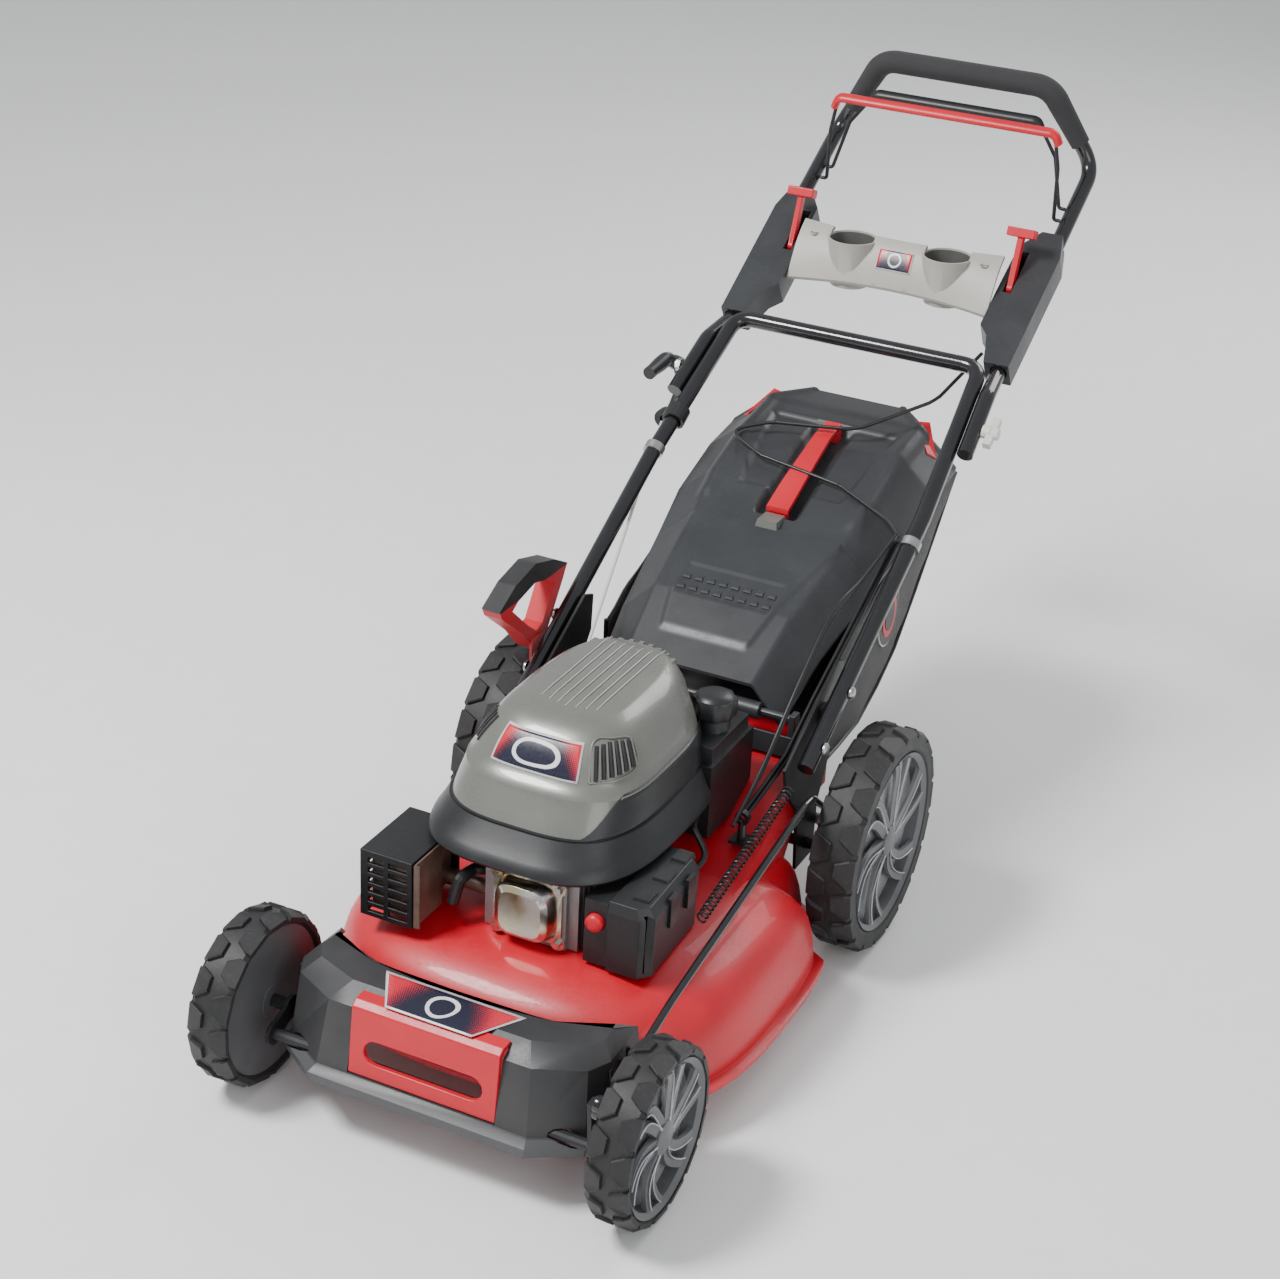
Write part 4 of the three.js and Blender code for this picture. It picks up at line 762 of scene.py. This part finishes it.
COWL_X = -12.0                    # the cowl's middle line


def oval(a, front, rear, z, power=3.2, count=96):
    ring = []
    for i in range(count):
        angle = 2 * math.pi * i / count
        c, s = math.cos(angle), math.sin(angle)
        long = rear if s > 0 else front
        ring.append(at(COWL_X + math.copysign(a * abs(c) ** (2 / power), c),
                       ENGINE_Y + math.copysign(long * abs(s) ** (2 / power), s), z))
    return ring


TANK = (26, 130, ENGINE_Y + 76, ENGINE_Y + 200, 200, 326)
skirt = make("blower_skirt", *skin([oval(126, 172, 149, 258), oval(135, 179.5, 153.5, 261),
                                    oval(137, 182, 155, 265), oval(135, 180, 154, 271),
                                    oval(131, 173.5, 152.8, 277), oval(126, 163, 152.3, 288),
                                    oval(121, 153, 152, 299.8)]), BLACK_PLASTIC)
boolean(skirt, make("t", *skin([oval(122, 166, 145, 250), oval(130, 174, 149, 270),
                                oval(116, 148, 147, 304)]), BLACK_PLASTIC), "DIFFERENCE")
boolean(skirt, make("t", *block(*TANK), BLACK_PLASTIC), "DIFFERENCE")
put(skirt, "mower", "blower_housing", slot=SLOT["blower_housing"])

COWL = [(300.4, 118, 150, 150), (315, 114.8, 141, 151), (330, 111, 130, 152),
        (336.5, 110, 126.5, 152), (339.5, 106.5, 119, 152), (350, 103, 109, 152),
        (362, 97, 102, 152), (372, 91, 95, 151), (382, 84, 86, 149), (389, 78.5, 77.5, 147.2),
        (395, 72, 68, 145), (399.5, 65, 57, 140.5), (402, 58, 46, 136)]


def cowl_size(z):
    for (z0, *low), (z1, *high) in zip(COWL, COWL[1:]):
        if z <= z1:
            t = (z - z0) / (z1 - z0)
            return [p + (q - p) * t for p, q in zip(low, high)]
    return COWL[-1][1:]


def on_cowl(angle, z, off=0.0):
    """A point on the cowl at an angle in degrees from +X, lifted off it in millimetres."""
    def spot(t, h):
        a, front, rear = cowl_size(h)
        c, s = math.cos(t), math.sin(t)
        long = rear if s > 0 else front
        return at(COWL_X + math.copysign(a * abs(c) ** (2 / 3.2), c),
                  ENGINE_Y + math.copysign(long * abs(s) ** (2 / 3.2), s), h)
    t = math.radians(angle)
    p = spot(t, z)
    normal = (spot(t + 0.02, z) - spot(t - 0.02, z)).cross(spot(t, z + 2) - spot(t, z - 2))
    return p + normal.normalized() * off * MM


cowl = make("engine_cowl", *skin([oval(a, f, r, z) for z, a, f, r in COWL]), COWL_GREY, 28.0)
boolean(cowl, make("t", *skin([oval(114, 146, 146, 296)] + [
    oval(a - 5, f - 5, r - 5, z - 3) for z, a, f, r in COWL[1:11]]), COWL_GREY), "DIFFERENCE")
boolean(cowl, make("t", *block(*TANK), COWL_GREY), "DIFFERENCE")
boolean(cowl,
        make("t", *lathe("z", [(36, 318), (36, 420)], CAP_X, ENGINE_Y + 140, 40), COWL_GREY),
        "DIFFERENCE")
put(cowl, "mower", "engine_cover", slot=SLOT["engine_cover"])

seam = oval(116.5, 148.5, 148.5, 300.2)
add("cowl_seam", tube_data(seam + seam[:1], 2.4, 8), BLACK_PLASTIC, "mower")
ribs = []
for k in range(7):
    x = COWL_X + (k - 3) * 11.5
    ribs.append(tube_data([at(x, ENGINE_Y - 44 + 3 * abs(k - 3), 401.2),
                           at(x, ENGINE_Y - 10, 402.2), at(x, ENGINE_Y + 60, 402.3),
                           at(x, ENGINE_Y + 118, 402.1), at(x, ENGINE_Y + 138, 399.0)],
                          1.5, 8))
add("cowl_ribs", merged(ribs), COWL_GREY, "mower")
comb = []
for k in range(9):
    x = (k - 4) * 12.5
    y = ENGINE_Y + 143 - 0.008 * x * x
    comb.append(block(COWL_X + x - 3.6, COWL_X + x + 3.6, y - 9, y + 8, 384, 398, 0.2))
add("cowl_comb", merged(comb), COWL_GREY, "mower")

louvre_frame = []
louvre_shade_bars = []
for k in range(6):
    angle = -58 + k * 7.0
    low, high = 353 + 1.2 * k, 386 - 1.2 * abs(k - 2.5)
    # a dark bar along each louvre slot: painted shade standing for the dark inside the opening
    louvre_shade_bars.append(tube_data([on_cowl(angle + 1.5 * (j / 5), low + (high - low) * j / 5, 0.2)
                                  for j in range(6)], 2.5, 8))
    louvre_frame.append(tube_data([on_cowl(angle + 3.5 + 1.5 * (j / 5),
                                           low + (high - low) * j / 5, 1.0)
                                   for j in range(6)], 1.5, 8))
rim_line = [on_cowl(-63, 351, 0.6), on_cowl(-40, 352, 0.6), on_cowl(-19, 359, 0.6),
            on_cowl(-17, 382, 0.6), on_cowl(-38, 388, 0.6), on_cowl(-60, 386, 0.6),
            on_cowl(-63, 351, 0.6)]
louvre_frame.append(tube_data(smooth_curve(rim_line, 6), 1.3, 8))
add("louvre_slot_shade", merged(louvre_shade_bars), BLACK_PLASTIC, "mower")
add("louvre_fins", merged(louvre_frame), COWL_GREY, "mower")
side_shade_bars = []
for k in range(4):
    # dark bars along the side slots: painted shade standing for the dark inside the openings
    side_shade_bars.append(tube_data([on_cowl(198 + 7 * k + j, 352 + 6 * j, 0.1) for j in range(6)],
                                2.0, 8))
add("side_slot_shade", merged(side_shade_bars), BLACK_PLASTIC, "mower")
flank = []                        # a sheet of the black plastic over the cowl's +X side, its top edge rising towards the fuel tank
for j in range(11):
    row = []
    for i in range(49):
        angle = -66 + 158 * i / 48
        top = 301 + 37.5 * smooth_step((angle + 66) / 34)
        row.append(on_cowl(angle, 300.6 + (top - 300.6) * j / 10, 0.45))
    flank.append(row)
patch("cowl_flank", flank, BLACK_PLASTIC, "mower")
cowl_label = []
for j in range(9):
    z = 349 + 36 * j / 8
    spread = 21 + 3 * j / 8
    cowl_label.append([on_cowl(-92 - spread + 2 * spread * i / 12, z, 0.5) for i in range(13)])
patch("cowl_badge", cowl_label, badge("cowl_print", 1.7), "mower")

refine("valve_cover", ZINC, 1.4, segments=3)
refine("muffler_guard", BLACK_METAL, 0.8)
refine("muffler", RUST, 5.0, segments=3)
refine("air_filter_cover", BLACK_PLASTIC, 5.0, segments=3, smooth=25.0)
refine("air_filter_base", BLACK_PLASTIC, 1.5)
refine("fuel_tank", BLACK_PLASTIC, 6.0, segments=3)
refine("carburettor", CAST, 1.5)
repaint(CAST, "engine_block", "gearbox")
repaint(RUST, "heat_shield")
repaint(STEEL, "crankshaft", "blade", "fold_knob_right")
repaint(BLACK_PLASTIC, "starter_pulley", "cable_guide", "spark_plug_boot", "rope_guide")
repaint(BLACK_METAL, "rear_axle", "front_axle")
repaint(CABLE, "fuel_hose")
refine("handle_bracket_left", BLACK_METAL, 0.8)
refine("handle_bracket_right", BLACK_METAL, 0.8)
refine("hinge_bar", DARK_PLASTIC, 1.0)
refine("fold_knob_left", WHITE, 1.8, segments=3)

ridges = []
for k in range(3):
    y = ENGINE_Y - 150 + 46 * k
    ridges.append(block(132, 152, y, y + 26, 252, 259.5, 0.15))
ridges.append(block(160.5, 165.5, ENGINE_Y - 120, ENGINE_Y - 102, 214, 250, 0.0))
ridges.append(block(160.5, 165.0, ENGINE_Y - 76, ENGINE_Y - 58, 214, 250, 0.0))
add("filter_latches", merged(ridges), BLACK_PLASTIC, "mower")
cap_y = ENGINE_Y + 140
cap = []
for z, r in ((336, 25.5), (338, 27), (355, 27), (358, 25.5)):
    cap.append([at(88 + (r - 2.4 * (1 + math.cos(8 * a)) / 2) * math.cos(a),
                   cap_y + (r - 2.4 * (1 + math.cos(8 * a)) / 2) * math.sin(a), z)
                for a in (2 * math.pi * i / 96 for i in range(96))])
add("fuel_cap_top", merged([skin(cap), lathe("z", [(23, 357), (20, 361), (12, 363.6), (0.5, 364)],
                                             88, cap_y, 40),
                            lathe("z", [(20.5, 332.8), (20.5, 337)], 88, cap_y, 40)]),
    BLACK_PLASTIC, "fuel_lid", "fuel_cap")
add("primer_dome", lathe("y", [(10.6, ENGINE_Y - 161), (10.6, ENGINE_Y - 170),
                               (9.8, ENGINE_Y - 172.4), (7.5, ENGINE_Y - 174.4),
                               (3.5, ENGINE_Y - 175), (0.3, ENGINE_Y - 175)], 98, 226, 32),
    RED_PLASTIC, "primer", "primer_bulb")

# ------------------------------------------------------------------ linkage and lever

TIE_X = 204.5
tie = [at(TIE_X, -50, 188), at(TIE_X, -112, 238), at(TIE_X, -134, 240), at(TIE_X, -483, 176),
       at(TIE_X, -543, 160), at(TIE_X, -637, 146.7)]
add("tie_rod_bar", merged([tube_data(rounded(tie, 26), 4.5, 14)] + [
    lathe("x", [(9.5, TIE_X - 4.4), (10, TIE_X - 3), (10, TIE_X + 3), (9.5, TIE_X + 4.4)], y, z, 24)
    for y, z in ((-42, 180), (-42, 188), (-645, 140.7), (-645, 148.7))]), BLACK_SHINE, "link",
    "tie_rod")
coil_from, coil_to = at(187.5, -379, 216), at(187.5, -150, 263)
coil_way = (coil_to - coil_from).normalized()
coil_side = Vector((1, 0, 0))
coil_up = coil_way.cross(coil_side)
coil = []
turns, per_turn = 34, 12
for i in range(turns * per_turn + 1):
    t = i / (turns * per_turn)
    a = 2 * math.pi * i / per_turn
    coil.append(coil_from.lerp(coil_to, t) + (coil_side * math.cos(a) + coil_up * math.sin(a))
                * 5.6 * MM)
spring = make("spring_coil", *tube_data(coil, 1.3, 6), BLACK_METAL)
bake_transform(spring)
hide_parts("lift_spring")
lever_paint = split_by_height("lever_colours", (0.62, 0.014, 0.026), (0.020, 0.020, 0.022),
                              0.377, 0.4)
refine("height_lever", lever_paint, 2.0, segments=3)

# ------------------------------------------------------------------ console and controls

low_s, high_s, half_w = 732.0, 812.0, 143.0


def console_point(x, t, depth=0.0):
    bow = 13 * (1 - (x / half_w) ** 2)
    along = low_s + bow + (high_s - bow * 1.6 - low_s) * t
    return on_handle(x, along, DROP + 13 + 32 * math.sin(t * math.pi / 2) - depth)


rings = []
for i in range(49):
    x = -half_w + 2 * half_w * i / 48
    top = [console_point(x, t / 14) for t in range(15)]
    under = [console_point(x, t / 14, 5.0) for t in range(14, -1, -1)]
    rings.append(top + under)
panel = make("console_panel", *skin(rings), CONSOLE_GREY, 35.0)
cups = [lathe("z", [(23, 618), (26, 619), (33.4, 680), (34, 684)], x, CUP_Y, 56)
        for x in (-CUP_X, CUP_X)]
wells = [lathe("z", [(23.5, 621), (31.5, 685), (31.5, 724)], x, CUP_Y, 56)
         for x in (-CUP_X, CUP_X)]
for cup in cups:
    boolean(panel, make("t", *cup, CONSOLE_GREY), "UNION")
for well in wells:
    boolean(panel, make("t", *well, CONSOLE_GREY), "DIFFERENCE")
bevel = panel.modifiers.new("edges", "BEVEL")
bevel.width = 0.0012
bevel.segments = 2
bevel.limit_method = "ANGLE"
bevel.angle_limit = math.radians(50)
put(panel, "handle", "console", slot=SLOT["console"])
# a sheet darker than the console grey over the inside of each cup well
for x in (-68, 68):
    add(f"cup_well_sheet_{'left' if x > 0 else 'right'}",
        open_top(lathe("z", [(23.3, 621.4), (30.9, 682.0)], x, CUP_Y, 48)),
        surface(f"cup_shade_{x}", (0.085, 0.085, 0.08), 0.5), "handle")
console_label = [[console_point(-25 + 50 * i / 10, 0.30 + 0.42 * j / 8) +
                  Vector((0, -0.0004, 0.0006)) for i in range(11)] for j in range(9)]
patch("console_badge", console_label, badge("console_print", 1.8), "handle")
screws = []
for x in (-122, 122):
    p = console_point(x, 0.75)
    y, z = (p.y - HUB_Y) / MM, p.z / MM
    screws.append(lathe("z", [(5.5, z - 1), (5.5, z + 1.2), (3.2, z + 1.6), (2.6, z - 0.5)],
                        x, y, 20))
add("console_screws", merged(screws), STEEL, "handle")
for hand in ("left", "right"):
    refine(f"bracket_shell_{hand}", DARK_PLASTIC, 4.5, segments=3, smooth=28.0)
    refine(f"control_lever_{hand}", RED_PLASTIC, 1.8, segments=3)

# ------------------------------------------------------------------ starter and cables

GUIDE = (-230.0, 356.0, 462.0)
gx, gy, gz = GUIDE
y0 = gy + 11
hook = rounded([at(gx, y0, gz), at(gx, y0 + 16, gz + 4), at(gx - 2, y0 + 44, gz + 26),
                at(gx - 4, y0 + 40, gz + 58), at(gx - 6, y0 - 4, gz + 80),
                at(gx - 8, y0 - 52, gz + 74)], 24, 10)
add("starter_grip", tube_data(smooth_curve(hook, 3),
                              lambda t: 8.8 + 1.4 * (math.sin(t * 130) > 0.2) * (t > 0.3), 18),
    BLACK_PLASTIC, "pull_handle", "starter_handle", smooth=50.0)
repaint(CORD, "starter_rope")

clips = []
for side, s in ((-1, 388), (1, 335)):
    p = on_handle(side * 188, s)
    q = on_handle(side * 188, s + 12)
    clips.append(tube_data([p, q], 13.2, 24))
add("cable_clips", merged(clips), STEEL, "mower")
run = [on_handle(146, 700, -52), on_handle(120, 600, -42), on_handle(40, 520, -34),
       on_handle(-70, 500, -30), on_handle(-120, 470, -26), on_handle(-60, 440, -24),
       on_handle(60, 420, -22), on_handle(140, 380, -14), on_handle(LEG_HALF_W - 21, 352, -4)]
loops = [tube_data(smooth_curve(rounded(run, 60, 4), 2), 2.5, 10)]
cables = make("handle_cable_run", *merged(loops), CABLE, 60.0)
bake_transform(cables)
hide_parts("handle_cables")


def bundle(dx, dz, radius):
    return tube_data(rounded([on_handle(LEG_HALF_W - 21 + dx, 345, -4 + dz),
                              on_handle(LEG_HALF_W - 24 + dx, 260, -6 + dz),
                              at(160 + dx, -20, 312 + dz), at(160 + dx, -92, 272 + dz),
                              at(152 + dx, -128, 250 + dz), at(146 + dx, -172, 232 + dz)],
                             40), radius, 10)




def arc(dx, dz):
    return tube_data(smooth_curve([on_handle(LEG_HALF_W - 22, 352, dz * 0.1),
                                   at(157 + dx, 108, 412 + dz * 0.6), at(152 + dx, 34, 392 + dz),
                                   at(150 + dx, -50, 338 + dz), at(149, -140, 270 + dz * 0.4),
                                   at(147, -212, 234)], 8), 2.2, 10)


add("cable_bundle", merged([bundle(-2, 1, 2.4), bundle(3, -1, 2.2), bundle(-1, -5, 2.2),
                            arc(0, 0), arc(3, 16)]), CABLE, "mower", "lower_cables")

# ------------------------------------------------------------------ flap, lid and bag

RIDGE = [(-33, 322), (56, 375), (183, 423), (260, 455), (351, 487), (435, 498), (474, 500)]
SHOULDER = 108.0
BAG_HALF = 160.0


def ridge(y):
    for (y0_, z0_), (y1_, z1_) in zip(RIDGE, RIDGE[1:]):
        if y <= y1_ or (y1_, z1_) == RIDGE[-1]:
            return z0_ + (z1_ - z0_) * (y - y0_) / (y1_ - y0_)
    return RIDGE[-1][1]


def side_drop(x):
    return max(0.0, (abs(x) - SHOULDER) / (BAG_HALF - SHOULDER)) * 44


def step(value, edge, width):
    return smooth_step((value - edge + width / 2) / width)


def closed_sheet(height, xs, ys, thickness, width_at):
    rings = []
    for y in ys:
        top = [at(x * width_at(y), y, height(x, y)) for x in xs]
        under = [at(x * width_at(y), y, height(x, y) - thickness) for x in reversed(xs)]
        rings.append(top + under)
    return skin(rings)


def flap_height(x, y):
    z = ridge(y) - side_drop(x)
    t = (y + 33) / 216
    raised = (1 - step(abs(x), 64 + 46 * t, 8)) * step(y, 6, 8)
    panel_ = (1 - step(abs(x), 74, 3)) * step(y, 52, 3) * (1 - step(y, 98, 3))
    return z - 2.5 + 3.0 * raised - 1.4 * panel_


def lid_height(x, y):
    z = ridge(y) - side_drop(x)
    groove = (1 - step(abs(x), 27, 12)) * step(y, 208, 10) * (1 - step(y, 392, 12))
    facet = (1 - step(abs(x), 62 + 0.12 * (y - 183), 9)) * step(y, 250, 10) * (1 - step(y, 396, 8))
    rim = step(y, 424, 12)
    wings = step(abs(x), 96, 8) * (1 - step(abs(x), 118, 8)) * step(y, 215, 20)
    return z - 16 * groove - 6.0 * facet * (1 - groove) + 2.0 * rim - 2.5 + 3.0 * wings


def spread(low, high, count):
    return [low + (high - low) * i / count for i in range(count + 1)]


xs = spread(-BAG_HALF, BAG_HALF, 96)
add("flap_panel", closed_sheet(flap_height, xs, spread(-33, 183, 80), 4,
                               lambda y: 0.78 + 0.16 * (y + 33) / 216), DARK_PLASTIC, "flap",
    "rear_flap", smooth=35.0)
add("flap_hinge", merged([lathe("x", [(5.5, x), (10.5, x), (10.5, x + 40), (5.5, x + 40)],
                                -38, 290, 28) for x in (-100, 60)]), DARK_PLASTIC, "flap")
add("lid_panel", closed_sheet(lid_height, xs, spread(183.4, 474, 100), 5,
                              lambda y: min(1.0, 0.94 + 0.06 * (y - 183.4) / 77)
                              - 0.38 * max(0.0, (y - 430) / 44)), DARK_PLASTIC, "bag",
    "bag_lid", smooth=35.0)
marks = []
for row in range(2):
    for k in range(8):
        x = -58 + k * 16.5
        y = 62 + row * 17
        z = flap_height(x, y) + 0.2
        marks.append(block(x - 5.5, x + 5.5, y - 5.5, y + 5.5, z - 1, z + 1.4, 0.25))
add("flap_studs", merged(marks), DARK_PLASTIC, "flap")
strip = []
for y in spread(212, 388, 24):
    z = ridge(y) + 3.2
    half = 13 + 2.0 * math.cos((y - 212) / 176 * math.pi)
    strip.append([at(-half, y, z - 7), at(-half, y, z - 1), at(-half + 3, y, z),
                  at(half - 3, y, z), at(half, y, z - 1), at(half, y, z - 7)])
feet = [block(-12, 12, 213, 224, ridge(216) - 22, ridge(216)),
        block(-12, 12, 376, 386, ridge(384) - 22, ridge(384))]
add("lid_strip", merged([skin(strip)] + feet), RED_PLASTIC, "bag", "bag_handle")
add("strip_foot", block(-16, 16, 178, 211, ridge(186) - 8, ridge(200) + 1.2, 0.18), COWL_GREY,
    "bag")
accents = []
for side in (1, -1):
    corner = [(side * 96, 436), (side * 128, 400), (side * 138, 408), (side * 112, 446)]
    accents.append(skin([[at(x, y, lid_height(x, y) - 2) for x, y in corner],
                         [at(x, y, lid_height(x, y) + 2.2) for x, y in corner]]))
add("lid_corners", merged(accents), RED_PLASTIC, "bag")

bottom_line = [(45, 188), (105, 189), (165, 193), (225, 217), (280, 249), (340, 308), (400, 372),
               (456, 433)]
top_line = [(45, 311), (105, 340), (165, 360), (225, 386), (280, 406), (340, 428), (400, 434),
            (456, 436)]
rings = []
SIDE_STEPS, FLOOR_STEPS = 20, 24


def bag_side(hand, y, bottom, top, seed):
    """Points down one side of the bag at y, bulging a little, with soft creases."""
    points = []
    for j in range(SIDE_STEPS + 1):
        v = j / SIDE_STEPS
        z = top + (bottom - top) * v
        crease = 2.6 * noise.noise(Vector((y * 0.016, z * 0.03, seed)))
        bulge = 3.0 * math.sin(math.pi * v) + crease - 2.0 * v ** 6
        points.append(at(hand * (152 + bulge), y, z))
    return points


for k in range(57):
    t = k / 56 * (len(bottom_line) - 1)
    i = min(int(t), len(bottom_line) - 2)
    f = t - i
    yb = bottom_line[i][0] + (bottom_line[i + 1][0] - bottom_line[i][0]) * f
    zb = bottom_line[i][1] + (bottom_line[i + 1][1] - bottom_line[i][1]) * f
    zt = top_line[i][1] + (top_line[i + 1][1] - top_line[i][1]) * f
    ring = bag_side(1, yb, zb, zt, 1.7)
    for j in range(1, FLOOR_STEPS):
        u = 1 - 2 * j / FLOOR_STEPS
        sag = 3.0 * (1 - u * u) + 2.0 * noise.noise(Vector((u * 3, yb * 0.02, 4.0)))
        ring.append(at(150 * u, yb, zb - sag * 0.6 + 1.0))
    ring += reversed(bag_side(-1, yb, zb, zt, 9.1))
    rings.append(ring)
verts, faces = skin(rings, closed=False, caps=False)
bag = make("bag_cloth_shell", verts, faces, CLOTH, 60.0)
solid = bag.modifiers.new("cloth", "SOLIDIFY")
solid.thickness = 0.0022
solid.offset = -1.0
put(bag, "bag", "bag_body", slot=SLOT["bag_body"])
piping = []
for side in (1, -1):
    piping.append(tube_data([at(side * 151, y, z + 1) for y, z in bottom_line], 2.6, 8))
piping.append(tube_data([at(152, 45, 311), at(152, 45, 188), at(-152, 45, 188),
                         at(-152, 45, 311)], 3.0, 8))
add("bag_piping", merged(piping), CABLE, "bag")


def disc_x(x, y, z, a, b, depth, count=48):
    return skin([[at(x + d, y + a * math.cos(t), z + b * math.sin(t))
                  for t in (2 * math.pi * k / count for k in range(count))]
                 for d in (0, depth)])


add("badge_ring_pale", disc_x(156.0, 226, 322, 33, 43, 2.0), WHITE, "bag")
add("badge_ring_dark", disc_x(156.5, 226, 322, 31, 41, 2.2), BLACK_PLASTIC, "bag")
add("badge_ring_red", disc_x(157.0, 226, 322, 22, 30, 2.4), RED_PLASTIC, "bag")
add("badge_core", disc_x(157.5, 226, 322, 15, 21, 2.5), BLACK_PLASTIC, "bag")

# ------------------------------------------------------------------ bolts

heads = []
for side in (1, -1):
    for y, z in ((-73, 283), (-1, 325)):
        start = side * 198.6
        heads.append(lathe("x", [(8, start), (8, start + side * 2), (6, start + side * 4.2),
                                 (2.5, start + side * 5.4), (0.3, start + side * 5.6)], y, z, 24))
add("leg_bolts", merged(heads), STEEL, "mower")

# ------------------------------------------------------------------ floor and light

floor_mat = surface("floor", (0.86, 0.86, 0.85), 0.7, mottle=0.01, grain=200.0, strength=0.02)
make("floor", [Vector((x, y, -0.0006)) for x, y in ((-9, -9), (9, -9), (9, 9), (-9, 9))],
              [(0, 1, 2, 3)], floor_mat)


def lamp(name, place, target, size, watts, color=(1, 1, 1)):
    data = bpy.data.lights.new(name, "AREA")
    data.energy = watts
    data.size = size
    data.color = color
    obj = bpy.data.objects.new(name, data)
    bpy.context.scene.collection.objects.link(obj)
    obj.location = place
    obj.rotation_euler = (Vector(target) - Vector(place)).to_track_quat("-Z", "Y").to_euler()


lamp("key", (-1.6, -1.8, 3.4), (0, 0, 0.3), 1.0, 190)
lamp("fill", (3.2, -2.6, 2.2), (0, 0, 0.3), 2.5, 50)
lamp("rim", (0.8, 3.2, 2.6), (0, 0.2, 0.4), 2.0, 70)
world = bpy.data.worlds.new("studio")
bpy.context.scene.world = world
world.use_nodes = True
world.node_tree.nodes["Background"].inputs["Color"].default_value = (0.95, 0.97, 1.0, 1.0)
world.node_tree.nodes["Background"].inputs["Strength"].default_value = 0.58
